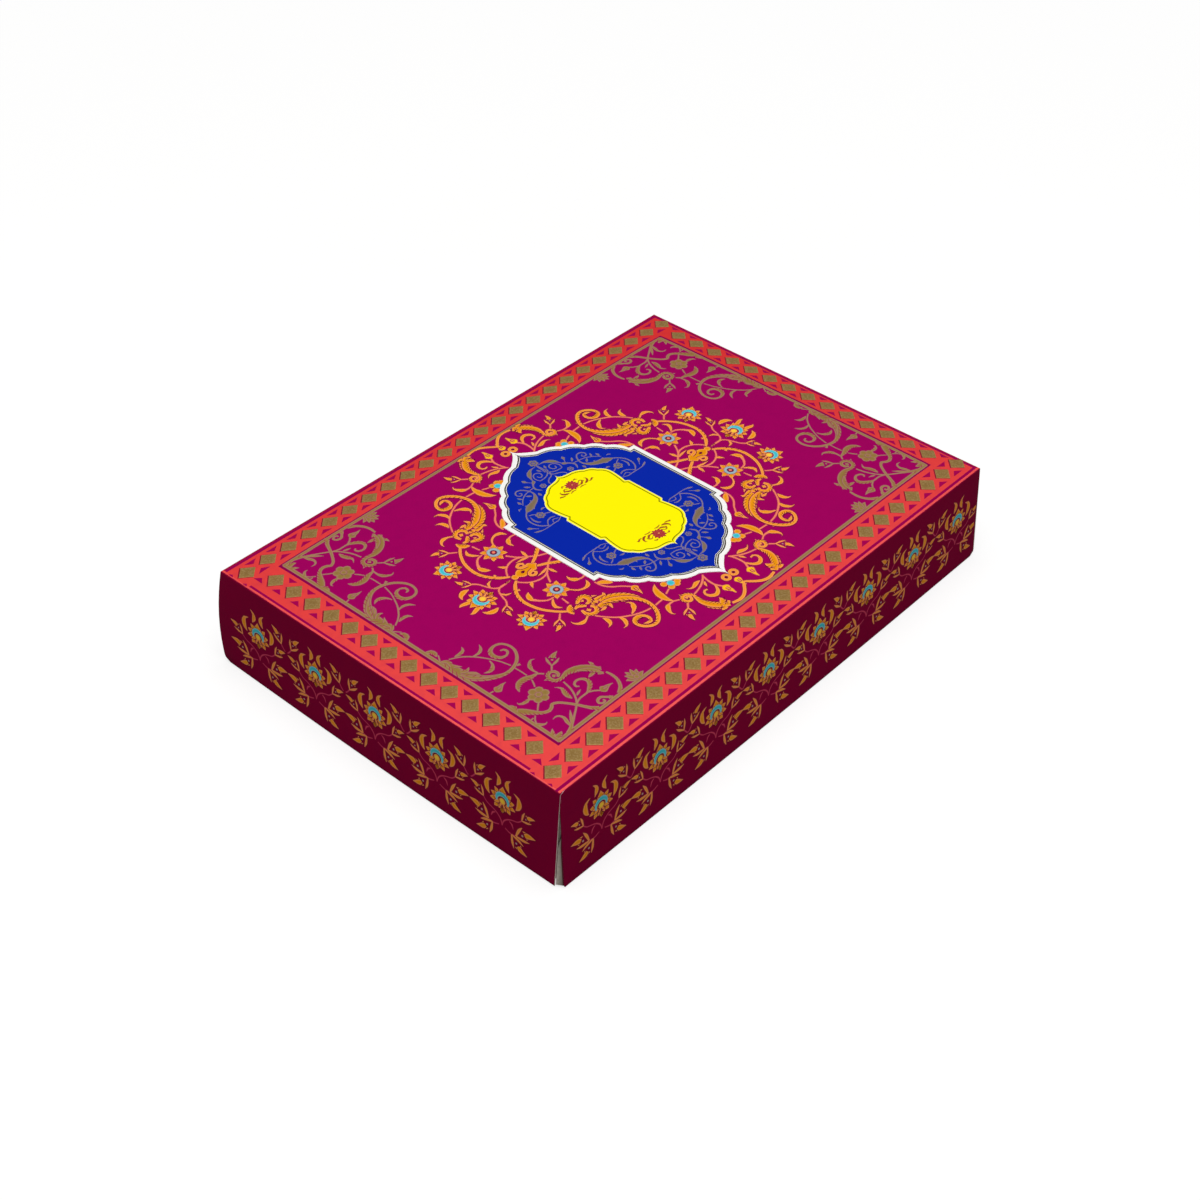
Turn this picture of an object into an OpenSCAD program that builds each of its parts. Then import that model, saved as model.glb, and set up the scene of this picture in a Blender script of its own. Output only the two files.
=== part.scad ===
// Sweet box: a printed lid that slides right down over a plain white tray.
// Both halves are folded from flat board, so every panel, wall and corner tab
// is a plate of its own, hinged or joined along a crease.
// X runs along the box, -Y is the front, Z is up, and the tray stands on Z = 0.

/* [Lid] */
// Length of the lid over its two short walls
lid_l = 254; // [200:1:320]
// Width of the lid over its two long walls
lid_w = 177; // [140:1:240]
// Height of the lid's walls, from the crease to the lower edge
lid_h = 45; // [38:1:80]
// Angle at which the lid's walls spring out from upright
lid_splay = 2.7; // [0:0.1:6]
// Thickness of the lid's printed board
lid_board = 0.5; // [0.3:0.05:0.8]
// How far each end of a lid wall draws in at its lower edge
lid_draw = 1.2; // [1:0.1:4]
// Radius of the lower corners of the lid walls
lid_corner_r = 3; // [1:0.5:6]
// How far the middle of the top panel crowns over its creases
lid_crown = 2.2; // [0.2:0.1:4]

/* [Lid corner tabs] */
// Length of the tabs folded in behind the short walls
lid_tab_l = 20; // [12:1:35]
// How far a tab's free end stands below the tab's own top
lid_tab_taper = 8; // [2:1:14]
// Gap between a tab and the short wall in front of it
lid_tab_gap = 0.1; // [0.05:0.05:0.4]

/* [Tray] */
// Thickness of the tray's white board
tray_board = 0.5; // [0.3:0.05:0.8]
// How far each end of a tray wall draws in at its upper edge
tray_draw = 1.6; // [1.6:0.1:4]
// Radius of the upper corners of the tray walls
tray_corner_r = 4; // [1:0.5:6]
// Length of the tray's glued corner tabs
tray_tab_l = 18; // [10:1:30]
// How far a tray tab's free end stands short of the tab's own height
tray_tab_taper = 6; // [2:1:12]

/* [Fits] */
// Least gap between the tray and the lid's corner tabs
slide_gap = 0.9; // [0.3:0.1:2]
// Height of the lid's lower edge over the table
floor_gap = 0.5; // [0.3:0.1:2]
// Gap between a tab's top or foot and the crease or edge beside it
tab_end_gap = 0.8; // [0.4:0.1:2]
// Gap between the dividers' ends and the tray walls
insert_gap = 0.6; // [0.3:0.1:2]
// Spare width of the slots where the dividers cross
slot_gap = 0.4; // [0.2:0.1:1]

/* [Dividers and liner] */
// Height of the dividers
divider_h = 34; // [20:1:36]
// Thickness of the dividers' board
divider_board = 0.5; // [0.3:0.05:0.8]
// Spacing of the three cross dividers
divider_pitch = 62; // [40:1:90]
// Thickness of the greaseproof liner sheet
liner_t = 0.1; // [0.06:0.02:0.3]
// Gap between the liner sheet's edge and the tray walls
liner_gap = 2; // [1:0.5:6]

/* [Labels] */
// Height of the cartouche label's pointed outline, tip to tip
cartouche_l = 117; // [100:1:130]
// Width of the cartouche label over its straight sides
cartouche_w = 77; // [66:1:90]
// Length of the cartouche label's straight sides
cartouche_side = 48.4; // [36:0.5:60]
// How far the cartouche steps in where its scalloped ends begin
cartouche_step = 2.9; // [1.5:0.1:5]
// Rise of each scallop over its chord
scallop_rise = 1.1; // [0.6:0.1:1.6]
// Thickness of the cartouche label
cartouche_t = 0.2; // [0.1:0.05:0.4]
// Height of the small name label, tip to tip
name_l = 65.4; // [50:0.5:76]
// Width of the small name label
name_w = 36.8; // [28:0.5:46]
// Depth of the two waists in the name label's sides
name_waist = 1.3; // [0.6:0.1:2.5]
// Thickness of the name label
name_t = 0.15; // [0.1:0.05:0.3]
// How far the printed artwork sits to the right of the lid's middle
art_dx = 1.5; // [-3:0.1:3]
// How far the printed artwork sits behind the lid's middle
art_dy = 0.2; // [-3:0.1:3]

/* [Hidden] */

// Offset between the two faces of a plate folded across a corner at 45 degrees
fold = sqrt(2);
// Depth of a tab's outer face behind the short wall's outer face
lid_tab_out = lid_board + lid_tab_gap;
tray_tab_out = tray_board;
// Least draw-in at a crease that leaves room for the folded tab
lid_draw_top = (2 - fold) * lid_board + lid_tab_out + 0.06;
tray_draw_foot = (2 - fold) * tray_board + tray_tab_out + 0.06;
// The tray clears the tab where it crosses the lid's corner, and where it lies flat
tray_inset = max(lid_tab_out + lid_board, (lid_draw + fold * lid_board) / 2) + slide_gap;
tray_l = lid_l - 2 * tray_inset;
tray_w = lid_w - 2 * tray_inset;
// The tray's walls reach the underside of the lid's top panel
tray_h = floor_gap + lid_h - lid_board;
top_z = floor_gap + lid_h;
// Height at which the dividers stand
insert_z = tray_board + liner_t;
divider_mid = divider_h / 2;
// Width of the top panel's flat rim, which rests on the tray's walls
rim = tray_inset + tray_board + 0.1;
// Distances in from that rim, with the share of the crown reached at each
crown_steps = [[0, 0], [5.5, 0.367], [12.5, 0.647], [26, 0.885], [44, 0.975], [66, 1]];
// The printed inks and boards
magenta = [0.61, 0.0, 0.37];
white_board = [0.93, 0.92, 0.89];
grey_board = [0.78, 0.76, 0.71];
royal_blue = [0.02, 0.14, 0.65];
yellow = [0.98, 0.93, 0.05];
greaseproof = [0.96, 0.94, 0.86];

// Points of a circular arc from p to q that bulges to the left by rise
function arc_points(p, q, rise, n = 6) =
    let (
        chord = norm(q - p),
        r = (chord * chord / 4 + rise * rise) / (2 * rise),
        mid = (p + q) / 2,
        across = [-(q - p)[1], (q - p)[0]] / chord,
        c = mid - across * (r - rise),
        half = asin(min(1, chord / 2 / r)),
        start = atan2(p[1] - c[1], p[0] - c[0])
    )
    [for (i = [0 : n - 1]) c + r * [cos(start - 2 * half * i / n), sin(start - 2 * half * i / n)]];

// A closed outline from the quarter in the first quadrant, read from the tip to the side
function mirrored(q) = concat(
    q,
    [for (i = [len(q) - 1 : -1 : 0]) [q[i][0], -q[i][1]]],
    [for (i = [1 : len(q) - 1]) [-q[i][0], -q[i][1]]],
    [for (i = [len(q) - 1 : -1 : 1]) [-q[i][0], q[i][1]]]
);

// Quarter of the cartouche: an ogee tip, four scallops and a square step to the side
function cartouche_quarter() =
    let (
        half_l = cartouche_l / 2,
        side = cartouche_side / 2,
        foot = [cartouche_w / 2 - cartouche_step, side],
        span = half_l - side,
        notches = [
            [0.21 * foot[0], side + 0.76 * span], [0.47 * foot[0], side + 0.625 * span],
            [0.685 * foot[0], side + 0.44 * span], [0.865 * foot[0], side + 0.24 * span], foot
        ]
    )
    concat(
        [[0, half_l], [0.025 * foot[0], side + 0.93 * span]],
        [for (k = [0 : 3]) each arc_points(notches[k], notches[k + 1], scallop_rise)],
        [foot, [cartouche_w / 2, side]]
    );

// Quarter of the name label: a tip, three scallops, and a waist above the straight side
function name_quarter() =
    let (
        half_l = name_l / 2,
        half_w = name_w / 2,
        notches = [
            [0.3 * half_w, 0.92 * half_l], [0.6 * half_w, 0.835 * half_l],
            [0.85 * half_w, 0.73 * half_l], [half_w, 0.55 * half_l]
        ]
    )
    concat(
        [[0, half_l]],
        [for (k = [0 : 2]) each arc_points(notches[k], notches[k + 1], 0.4 * scallop_rise)],
        [notches[3], [half_w - name_waist, 0.32 * half_l], [half_w - name_waist, 0.29 * half_l],
         [half_w, 0.27 * half_l]]
    );

// Moves a wall from the local frame to one of the four sides: 0 front, 1 right, 2 back, 3 left
module to_side(i, l, w) {
    reach = i % 2 == 0 ? w / 2 : l / 2;
    rotate([0, 0, 90 * i]) translate([0, -reach, 0]) children();
}

// The 45 degree half-space above a crease along X, for cutting wall and panel to meet there
module above_mitre(len, t) {
    rotate([-45, 0, 0]) translate([-len / 2 - 1, -4 * t, 0]) cube([len + 2, 8 * t, 4 * t]);
}

// A flat panel whose outer face is at Z = 0, with its four edges mitred for the walls
module panel(l, w, t) {
    difference() {
        translate([-l / 2, -w / 2, -t]) cube([l, w, t]);
        for (i = [0 : 3]) to_side(i, l, w) rotate([180, 0, 0]) above_mitre(max(l, w), t);
    }
}

// A rectangle with rounded corners
module round_rect(l, w, r) {
    polygon([
        for (c = [[1, 1, 0], [-1, 1, 90], [-1, -1, 180], [1, -1, 270]], a = [0 : 30 : 90])
            [c[0] * (l / 2 - r), c[1] * (w / 2 - r)] + r * [cos(c[2] + a), sin(c[2] + a)]
    ]);
}

// The crowned form inside the flat rim, which reaches 2 mm below Z = 0
module crown() {
    hull() {
        translate([0, 0, -2]) linear_extrude(height = 2)
            round_rect(lid_l - 2 * rim, lid_w - 2 * rim, 4);
        for (s = crown_steps) translate([0, 0, lid_crown * s[1] - 0.01]) linear_extrude(height = 0.01)
            round_rect(lid_l - 2 * (rim + s[0]), lid_w - 2 * (rim + s[0]), 4 + 0.25 * s[0]);
    }
}

// What lies between two heights over the crowned top
module on_crown(low, high) {
    intersection() {
        translate([art_dx, art_dy, top_z - 1]) linear_extrude(height = lid_crown + 3) children();
        difference() {
            translate([0, 0, top_z + high]) crown();
            translate([0, 0, top_z + low]) crown();
            translate([0, 0, top_z + low - 2]) linear_extrude(height = 2)
                square([lid_l, lid_w], center = true);
        }
    }
}

// One wall hanging from its crease at Z = 0, outer face at Y = 0, ends drawn in towards the edge
module wall(len, drop, t, draw_crease, draw_edge, r) {
    at_edge = len / 2 - draw_edge;
    slope = (draw_edge - draw_crease) / drop;
    side = [
        for (a = [0 : 15 : 90])
            [at_edge - r * (1 - cos(a)) + slope * r * (1 - sin(a)), -drop + r * (1 - sin(a))]
    ];
    outline = concat(
        [[len / 2 - draw_crease, 0]],
        side,
        [for (i = [len(side) - 1 : -1 : 0]) [-side[i][0], side[i][1]]],
        [[-len / 2 + draw_crease, 0]]
    );
    difference() {
        rotate([90, 0, 0]) translate([0, 0, -t]) linear_extrude(height = t) polygon(outline);
        above_mitre(len, t);
    }
}

// A corner tab: it leaves the long wall's end at 45 degrees and lies flat behind the short wall.
// u runs in from the short wall's outer face, v in from the long wall's, Z = 0 is the crease.
function tab_ring(draw, t, out, length, z, z_free) = [
    [draw, 0, z],
    [out, draw - out, z],
    [out, length, z_free],
    [out + t, length, z_free],
    [out + t, draw + fold * t - out - t, z],
    [draw + fold * t - t, t, z],
    [draw, t, z]
];

module corner_tab(drop, t, out, length, taper, draw_crease, draw_edge) {
    low = -drop + tab_end_gap;
    high = -t - tab_end_gap;
    draw_low = draw_crease + (draw_edge - draw_crease) * -low / drop;
    draw_high = draw_crease + (draw_edge - draw_crease) * -high / drop;
    points = concat(
        tab_ring(draw_low, t, out, length, low, low + taper / 2),
        tab_ring(draw_high, t, out, length, high, high - taper)
    );
    sides = [for (i = [0 : 6]) [i, (i + 1) % 7, (i + 1) % 7 + 7, i + 7]];
    foot = [[6, 5, 4, 1, 0], [3, 2, 1], [4, 3, 1]];
    head = [[7, 8, 11, 12, 13], [8, 9, 10], [8, 10, 11]];
    polyhedron(points = points, faces = concat(sides, foot, head), convexity = 4);
}

// Moves a tab to its corner: sx and sy are the signs of the corner's X and Y
module to_corner(sx, sy, l, w) {
    flip_x = sx < 0 ? 0 : 1;
    flip_y = sy < 0 ? 0 : 1;
    mirror([flip_x, 0, 0]) mirror([0, flip_y, 0]) translate([-l / 2, -w / 2, 0]) children();
}

module lid_wall(i) {
    len = i % 2 == 0 ? lid_l : lid_w;
    color(magenta) translate([0, 0, top_z]) to_side(i, lid_l, lid_w) rotate([-lid_splay, 0, 0])
        wall(len, lid_h, lid_board, lid_draw_top, lid_draw, lid_corner_r);
}

module lid_tab(sx, sy) {
    color(white_board) translate([0, 0, top_z]) to_corner(sx, sy, lid_l, lid_w)
        rotate([-lid_splay, 0, 0])
        corner_tab(lid_h, lid_board, lid_tab_out, lid_tab_l, lid_tab_taper, lid_draw_top, lid_draw);
}

// The tray is folded the same way, the other way up
module tray_wall(i) {
    len = i % 2 == 0 ? tray_l : tray_w;
    color(white_board) mirror([0, 0, 1]) to_side(i, tray_l, tray_w)
        wall(len, tray_h, tray_board, tray_draw_foot, tray_draw, tray_corner_r);
}

module tray_tab(sx, sy) {
    color(grey_board) mirror([0, 0, 1]) to_corner(sx, sy, tray_l, tray_w)
        corner_tab(tray_h, tray_board, tray_tab_out, tray_tab_l, tray_tab_taper,
                   tray_draw_foot, tray_draw);
}

module lid_top_panel() {
    color(magenta) translate([0, 0, top_z]) difference() {
        union() {
            panel(lid_l, lid_w, lid_board);
            crown();
        }
        translate([0, 0, -lid_board]) crown();
        translate([0, 0, -lid_board - 2]) linear_extrude(height = 2)
            square([lid_l, lid_w], center = true);
    }
}

module cartouche_label() {
    color(royal_blue) on_crown(0, cartouche_t) polygon(mirrored(cartouche_quarter()));
}

module name_label() {
    color(yellow) on_crown(cartouche_t, cartouche_t + name_t) polygon(mirrored(name_quarter()));
}

module tray_floor() {
    color(white_board) mirror([0, 0, 1]) panel(tray_l, tray_w, tray_board);
}

module liner_sheet() {
    l = tray_l - 2 * (tray_board + liner_gap);
    w = tray_w - 2 * (tray_board + liner_gap);
    color(greaseproof) translate([-l / 2, -w / 2, tray_board]) cube([l, w, liner_t]);
}

// Slots from the top let the cross dividers down into the long one
module divider_long() {
    l = tray_l - 2 * (tray_board + insert_gap);
    slot = divider_board + slot_gap;
    color(white_board) translate([0, 0, insert_z]) difference() {
        translate([-l / 2, -divider_board / 2, 0]) cube([l, divider_board, divider_h]);
        for (k = [-1 : 1]) translate([k * divider_pitch - slot / 2, -slot, divider_mid - slot_gap / 2])
            cube([slot, 2 * slot, divider_h]);
    }
}

// k is -1, 0 or 1, from left to right
module divider_cross(k) {
    l = tray_w - 2 * (tray_board + insert_gap);
    slot = divider_board + slot_gap;
    color(white_board) translate([k * divider_pitch, 0, insert_z]) difference() {
        translate([-divider_board / 2, -l / 2, 0]) cube([divider_board, l, divider_h]);
        translate([-slot, -slot / 2, -divider_h])
            cube([2 * slot, slot, divider_h + divider_mid + slot_gap / 2]);
    }
}

lid_top_panel();
lid_wall(0);  // lid_front_wall
lid_wall(1);  // lid_right_wall
lid_wall(2);  // lid_back_wall
lid_wall(3);  // lid_left_wall
lid_tab(-1, -1);  // lid_tab_front_left
lid_tab(1, -1);  // lid_tab_front_right
lid_tab(-1, 1);  // lid_tab_back_left
lid_tab(1, 1);  // lid_tab_back_right
cartouche_label();
name_label();
tray_floor();
tray_wall(0);  // tray_front_wall
tray_wall(1);  // tray_right_wall
tray_wall(2);  // tray_back_wall
tray_wall(3);  // tray_left_wall
tray_tab(-1, -1);  // tray_tab_front_left
tray_tab(1, -1);  // tray_tab_front_right
tray_tab(-1, 1);  // tray_tab_back_left
tray_tab(1, 1);  // tray_tab_back_right
liner_sheet();
divider_long();
divider_cross(-1);  // divider_cross_left
divider_cross(0);  // divider_cross_middle
divider_cross(1);  // divider_cross_right
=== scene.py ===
import math

import bmesh
import bpy
from mathutils import Matrix, Quaternion, Vector


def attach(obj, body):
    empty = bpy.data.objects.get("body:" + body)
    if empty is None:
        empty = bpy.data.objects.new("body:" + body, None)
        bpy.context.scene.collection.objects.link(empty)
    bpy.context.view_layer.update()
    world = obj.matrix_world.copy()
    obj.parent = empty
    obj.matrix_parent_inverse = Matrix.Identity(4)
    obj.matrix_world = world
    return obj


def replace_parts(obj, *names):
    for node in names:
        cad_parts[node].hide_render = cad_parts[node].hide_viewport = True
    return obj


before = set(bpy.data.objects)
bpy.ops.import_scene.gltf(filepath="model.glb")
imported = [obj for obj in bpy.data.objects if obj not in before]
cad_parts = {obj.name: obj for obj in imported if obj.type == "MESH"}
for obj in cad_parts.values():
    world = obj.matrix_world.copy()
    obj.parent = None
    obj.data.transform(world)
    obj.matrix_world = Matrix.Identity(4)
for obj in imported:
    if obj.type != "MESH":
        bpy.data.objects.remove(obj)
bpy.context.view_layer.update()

# A printed sweet box. Lengths are in millimetres and become metres in the last step of each piece.
MM = 0.001
LID_L, LID_W, LID_H = 254.0, 177.0, 45.0
TOP = 45.5
BOARD = 0.5
CROWN = 2.2
RIM = 2.6
SPLAY = math.radians(2.7)
# Rounding at the foot of a wall's end, and how far the two walls have come apart at the near corner
FOOT_ROUND = 2.8
OPEN_GAP = 1.05
# A tab's outer face behind the short wall's outer face
TAB_BACK = 0.62
# The lowest ink's height over the board, and the step from one layer of ink to the next
FILM, LAYER = 0.02, 0.05
# Middle of the printed frame, of the orange scrollwork, and of the blue cartouche
FRAME_MID = (1.4, 0.2)
SCROLL_MID = (1.5, 0.8)
CARTOUCHE_MID = (1.6, 1.1)


def swell(edge):
    """How far the crown has risen, as a share, at a distance in from the lid's edge."""
    return 1 - math.exp(-max(0.0, edge - RIM) / 12)


def roll(edge):
    """The board turns over its crease in a small round, half of it on the top and half on the wall."""
    return 0.18 * (1 - min(1, max(0, edge) / 0.7)) ** 2


def on_top(x, y, up=0.0):
    """Places a point of the print on the crowned top."""
    across, along = LID_L / 2 - abs(x), LID_W / 2 - abs(y)
    height = TOP + CROWN * swell(across) * swell(along) - max(roll(across), roll(along)) + up
    return Vector((x - math.copysign(roll(across), x), y - math.copysign(roll(along), y), height)) * MM


# Each wall: where its crease lies, the way along it seen from outside, the way out, and its length
WALLS = {
    "front": (LID_W / 2, Vector((1, 0, 0)), Vector((0, -1, 0)), LID_L),
    "right": (LID_L / 2, Vector((0, 1, 0)), Vector((1, 0, 0)), LID_W),
    "back": (LID_W / 2, Vector((-1, 0, 0)), Vector((0, 1, 0)), LID_L),
    "left": (LID_L / 2, Vector((0, -1, 0)), Vector((-1, 0, 0)), LID_W),
}


def corner_bulge(side, s, drop):
    """The far left corner of the lid stands out like a pinch, most at half its height."""
    at_end = {"left": -1, "back": 1}.get(side, 0) * s / (WALLS[side][3] / 2)
    return 1.15 * max(0.0, at_end) ** 6 * math.sin(math.pi * min(1, max(0, drop) / LID_H)) ** 0.8


def on_wall(side):
    """Gives the function that places s along a leaning, slightly bowed wall, drop below its crease."""
    reach, along, out, length = WALLS[side]

    def place(s, drop, up=0.0):
        bow = 0.8 * math.cos(math.pi * s / length) * (max(0, drop) / LID_H) ** 1.5
        lean = drop * math.sin(SPLAY) + (bow + corner_bulge(side, s, drop)) - roll(drop) + up
        height = TOP - drop * math.cos(SPLAY) - roll(drop) + up * math.sin(SPLAY)
        return (along * s + out * (reach + lean) + Vector((0, 0, height))) * MM

    return place


# Ink and board colours


def srgb(text):
    """A hex colour as linear values."""
    parts = [int(text[i : i + 2], 16) / 255 for i in (1, 3, 5)]
    return tuple(c / 12.92 if c <= 0.04045 else ((c + 0.055) / 1.055) ** 2.4 for c in parts) + (1,)


def add(tree, kind, links=None, sockets=None, stops=(), **settings):
    """Adds one shader node with its settings, values, links and colour stops, and gives its outputs."""
    made = tree.nodes.new("ShaderNode" + kind)
    for key, value in settings.items():
        setattr(made, key, value)
    for key, value in (sockets or {}).items():
        made.inputs[key].default_value = value
    for key, source in (links or {}).items():
        tree.links.new(source, made.inputs[key])
    while stops and len(made.color_ramp.elements) < len(stops):
        made.color_ramp.elements.new(0.5)
    for k, (place, colour) in enumerate(stops):
        made.color_ramp.elements[k].position = place
        made.color_ramp.elements[k].color = srgb(colour)
    return made.outputs


def start(name, roughness, gloss, **sockets):
    """A new material with its shader and the place on the object."""
    made = bpy.data.materials.new(name)
    made.use_nodes = True
    tree = made.node_tree
    shader = tree.nodes["Principled BSDF"]
    shader.inputs["Roughness"].default_value = roughness
    shader.inputs["Specular IOR Level"].default_value = gloss
    for key, value in sockets.items():
        shader.inputs[key].default_value = value
    return made, tree, shader, add(tree, "TexCoord")["Object"]


def surface(tree, shader, place, grain, strength, depth):
    """Fine bump at the size of a real grain, given in millimetres."""
    noise = add(tree, "TexNoise", {"Vector": place}, {"Scale": 1000 / grain, "Detail": 3.0})["Fac"]
    bump = add(tree, "Bump", {"Height": noise}, {"Strength": strength, "Distance": depth * MM})
    tree.links.new(bump["Normal"], shader.inputs["Normal"])
    return noise


def mottled(tree, shader, colour, pattern, low, high, most, tone):
    """Lets another tone come through a colour where a pattern runs from low to high."""
    amount = add(tree, "MapRange", {0: pattern}, {1: low, 2: high, 4: most})[0]
    mix = add(tree, "Mix", {0: amount, 6: colour}, {7: srgb(tone)}, data_type="RGBA")
    tree.links.new(mix[2], shader.inputs["Base Color"])


def inside(tree, axes, middle, half):
    """1 within a rectangle on the print, 0 outside it; sizes in millimetres."""
    ends = []
    for axis, mid, size in zip(axes, middle, half):
        off = add(tree, "Math", {0: axis}, {1: mid * MM}, operation="SUBTRACT")
        off = add(tree, "Math", {0: off[0]}, operation="ABSOLUTE")
        ends.append(add(tree, "Math", {0: off[0]}, {1: size * MM}, operation="SUBTRACT")[0])
    far = add(tree, "Math", dict(enumerate(ends)), operation="MAXIMUM")
    return add(tree, "MapRange", {0: far[0]}, {1: 0.08 * MM, 2: -0.08 * MM})[0]


def printed_top():
    # Offset-printed folding boxboard: flat ink under a satin varnish, with the board's faint mottle
    made, tree, shader, place = start("offset print on boxboard, top", 0.55, 0.02)
    axes = add(tree, "SeparateXYZ", {0: place})
    # Painted shade: both salmon inks are painted darker towards the back right of the sheet
    slope = add(tree, "Math", {0: axes[0], 2: axes[1]}, {1: 0.6}, operation="MULTIPLY_ADD")
    painted_far_shade = add(tree, "MapRange", {0: slope[0]}, {1: -100 * MM, 2: 130 * MM})[0]
    salmon, colour = (
        add(tree, "Mix", {0: painted_far_shade}, {6: srgb(near), 7: srgb(far)}, data_type="RGBA")[2]
        for near, far in (("#E64645", "#D73331"), ("#F25A56", "#E24446"))
    )
    # Each layer is a rectangle, given by its middle and half sizes: the outer lines, then the frame
    layers = [
        # This first layer paints the outermost strip dark crimson along the far creases as painted shade;
        # along the near creases the salmon strip is print lightened as a painted crease highlight
        ("#9C1238", (5.5, 5.6), (131.5, 93.0)),
        ("#94004C", (0, 0), (125.9, 87.3)),
        (salmon, (0, 0), (124.9, 86.1)),
        (salmon, (-125.5, 79.6), (0.8, 6.5)),
        (salmon, (-125.5, -79.6), (0.8, 6.5)),
        ("#94004C", (-120, -86.7), (7, 0.6)),
        ("#86004A", FRAME_MID, (112.5, 73.2)),
        ("#9C005A", FRAME_MID, (110.4, 71.6)),
    ]
    for ink, middle, half in layers:
        links, values = {0: inside(tree, axes, middle, half), 6: colour}, {}
        if isinstance(ink, str):
            values[7] = srgb(ink)
        else:
            links[7] = ink
        colour = add(tree, "Mix", links, values, data_type="RGBA")[2]
    surface(tree, shader, place, 0.9, 0.25, 0.02)
    mottle = add(tree, "TexNoise", {"Vector": place}, {"Scale": 260.0, "Detail": 4.0})
    mottled(tree, shader, colour, mottle["Fac"], 0.45, 0.75, 0.14, "#7A0050")
    return made


def printed_wall():
    # The same print where it runs over the creases, drawn darker and redder than on the top; along the fold
    # a painted crease highlight, with rubbed wear, pales it in patches
    made, tree, shader, place = start("offset print on boxboard, walls", 0.55, 0.01)
    height = add(tree, "SeparateXYZ", {0: place})["Z"]
    sheen_and_wear_noise = add(tree, "TexNoise", {"Vector": place}, {"Scale": 90.0, "Detail": 2.0})
    # Painted crease highlight and wear: the top 0.75 mm of each wall turns pale in patches
    near_fold = add(tree, "MapRange", {0: height}, {1: (TOP - 0.75) * MM, 2: (TOP - 0.1) * MM})[0]
    sheen_and_wear_patches = add(tree, "MapRange", {0: sheen_and_wear_noise["Fac"]}, {1: 0.3, 2: 0.8})[0]
    crease_sheen_and_wear = add(tree, "Math", {0: near_fold, 1: sheen_and_wear_patches}, operation="MULTIPLY")
    surface(tree, shader, place, 0.9, 0.25, 0.02)
    base = add(tree, "ValToRGB", {0: crease_sheen_and_wear[0]}, stops=[(0, "#860034"), (0.6, "#A01040"), (1, "#C83C50")])
    mottle = add(tree, "TexNoise", {"Vector": place}, {"Scale": 240.0, "Detail": 4.0})
    mottled(tree, shader, base["Color"], mottle["Fac"], 0.45, 0.75, 0.16, "#6E0038")
    return made


def relief_ink(name, stops, roughness=0.4, grain=0.6, metallic=0.0, fleck=None):
    """Embossed ink whose colour runs in from the outline of each shape; stops are in millimetres."""
    made, tree, shader, place = start(name, roughness, 0.04, Metallic=metallic)
    edge = add(tree, "Attribute", attribute_name="inset")["Fac"]
    edge = add(tree, "MapRange", {0: edge}, {2: 2.0})
    colour = add(tree, "ValToRGB", {0: edge[0]}, stops=[(at / 2, ink) for at, ink in stops])
    noise = surface(tree, shader, place, grain, 0.3, 0.02)
    most, tone = (0.5, fleck) if fleck else (0.1, stops[-1][1])
    mottled(tree, shader, colour["Color"], noise, 0.45, 0.7, most, tone)
    return made


def board(name, face, fleck, roughness=0.75, grain=0.35):
    """Carton board: pressed wood fibre, matt, with fibres that catch the light."""
    made, tree, shader, place = start(name, roughness, 0.2)
    pressed = {"Scale": 1000 / grain / 3, "Detail": 6.0, "Distortion": 1.4}
    fibre = add(tree, "TexNoise", {"Vector": place}, pressed)
    surface(tree, shader, place, grain, 0.35, 0.03)
    base = add(tree, "ValToRGB", {0: fibre["Fac"]}, stops=[(0.3, fleck), (0.6, face)])
    tree.links.new(base["Color"], shader.inputs["Base Color"])
    return made


# Offset inks over an embossing die: a dark keyline, also painted shade along the emboss's edge, then salmon,
# then orange in the wide parts
ORANGE = [
    (0, "#6A0424"), (0.24, "#7E1028"), (0.36, "#F28A66"),
    (0.62, "#F59A4A"), (0.95, "#F09A1C"), (1.5, "#E4900C"),
]
VINE = [(0, "#8A0A40"), (0.12, "#C04450"), (0.3, "#EE7D66"), (0.6, "#F08A62")]
YELLOW = [(0, "#8A1430"), (0.2, "#E88A50"), (0.5, "#F8B030"), (1.3, "#FAC40C")]
TURQUOISE = [(0, "#4A4A62"), (0.15, "#B4C4C8"), (0.35, "#62CBD6"), (0.9, "#3DBFCC")]
# Hot-stamped dull gold foil: olive in the flat, rosy along the edge of the die
GOLD = [(0, "#8E1A55"), (0.1, "#A05A6A"), (0.3, "#AE8468"), (0.7, "#9C7C48"), (1.4, "#96783E")]
# The lattice diamonds' foil is painted paler along its bevelled edge, a painted highlight
DIAMOND = [(0, "#B08C58"), (0.3, "#947642"), (1, "#8A6C3C")]
FOIL_LINE = [(0, "#423E3A"), (0.2, "#4E483E"), (0.5, "#6A614E")]
# The same foil over the blue reads as a greyish mauve where it is thin
MAUVE = [(0, "#4A4890"), (0.15, "#7C72A0"), (0.5, "#84725E"), (1.2, "#7C6A54")]
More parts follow.
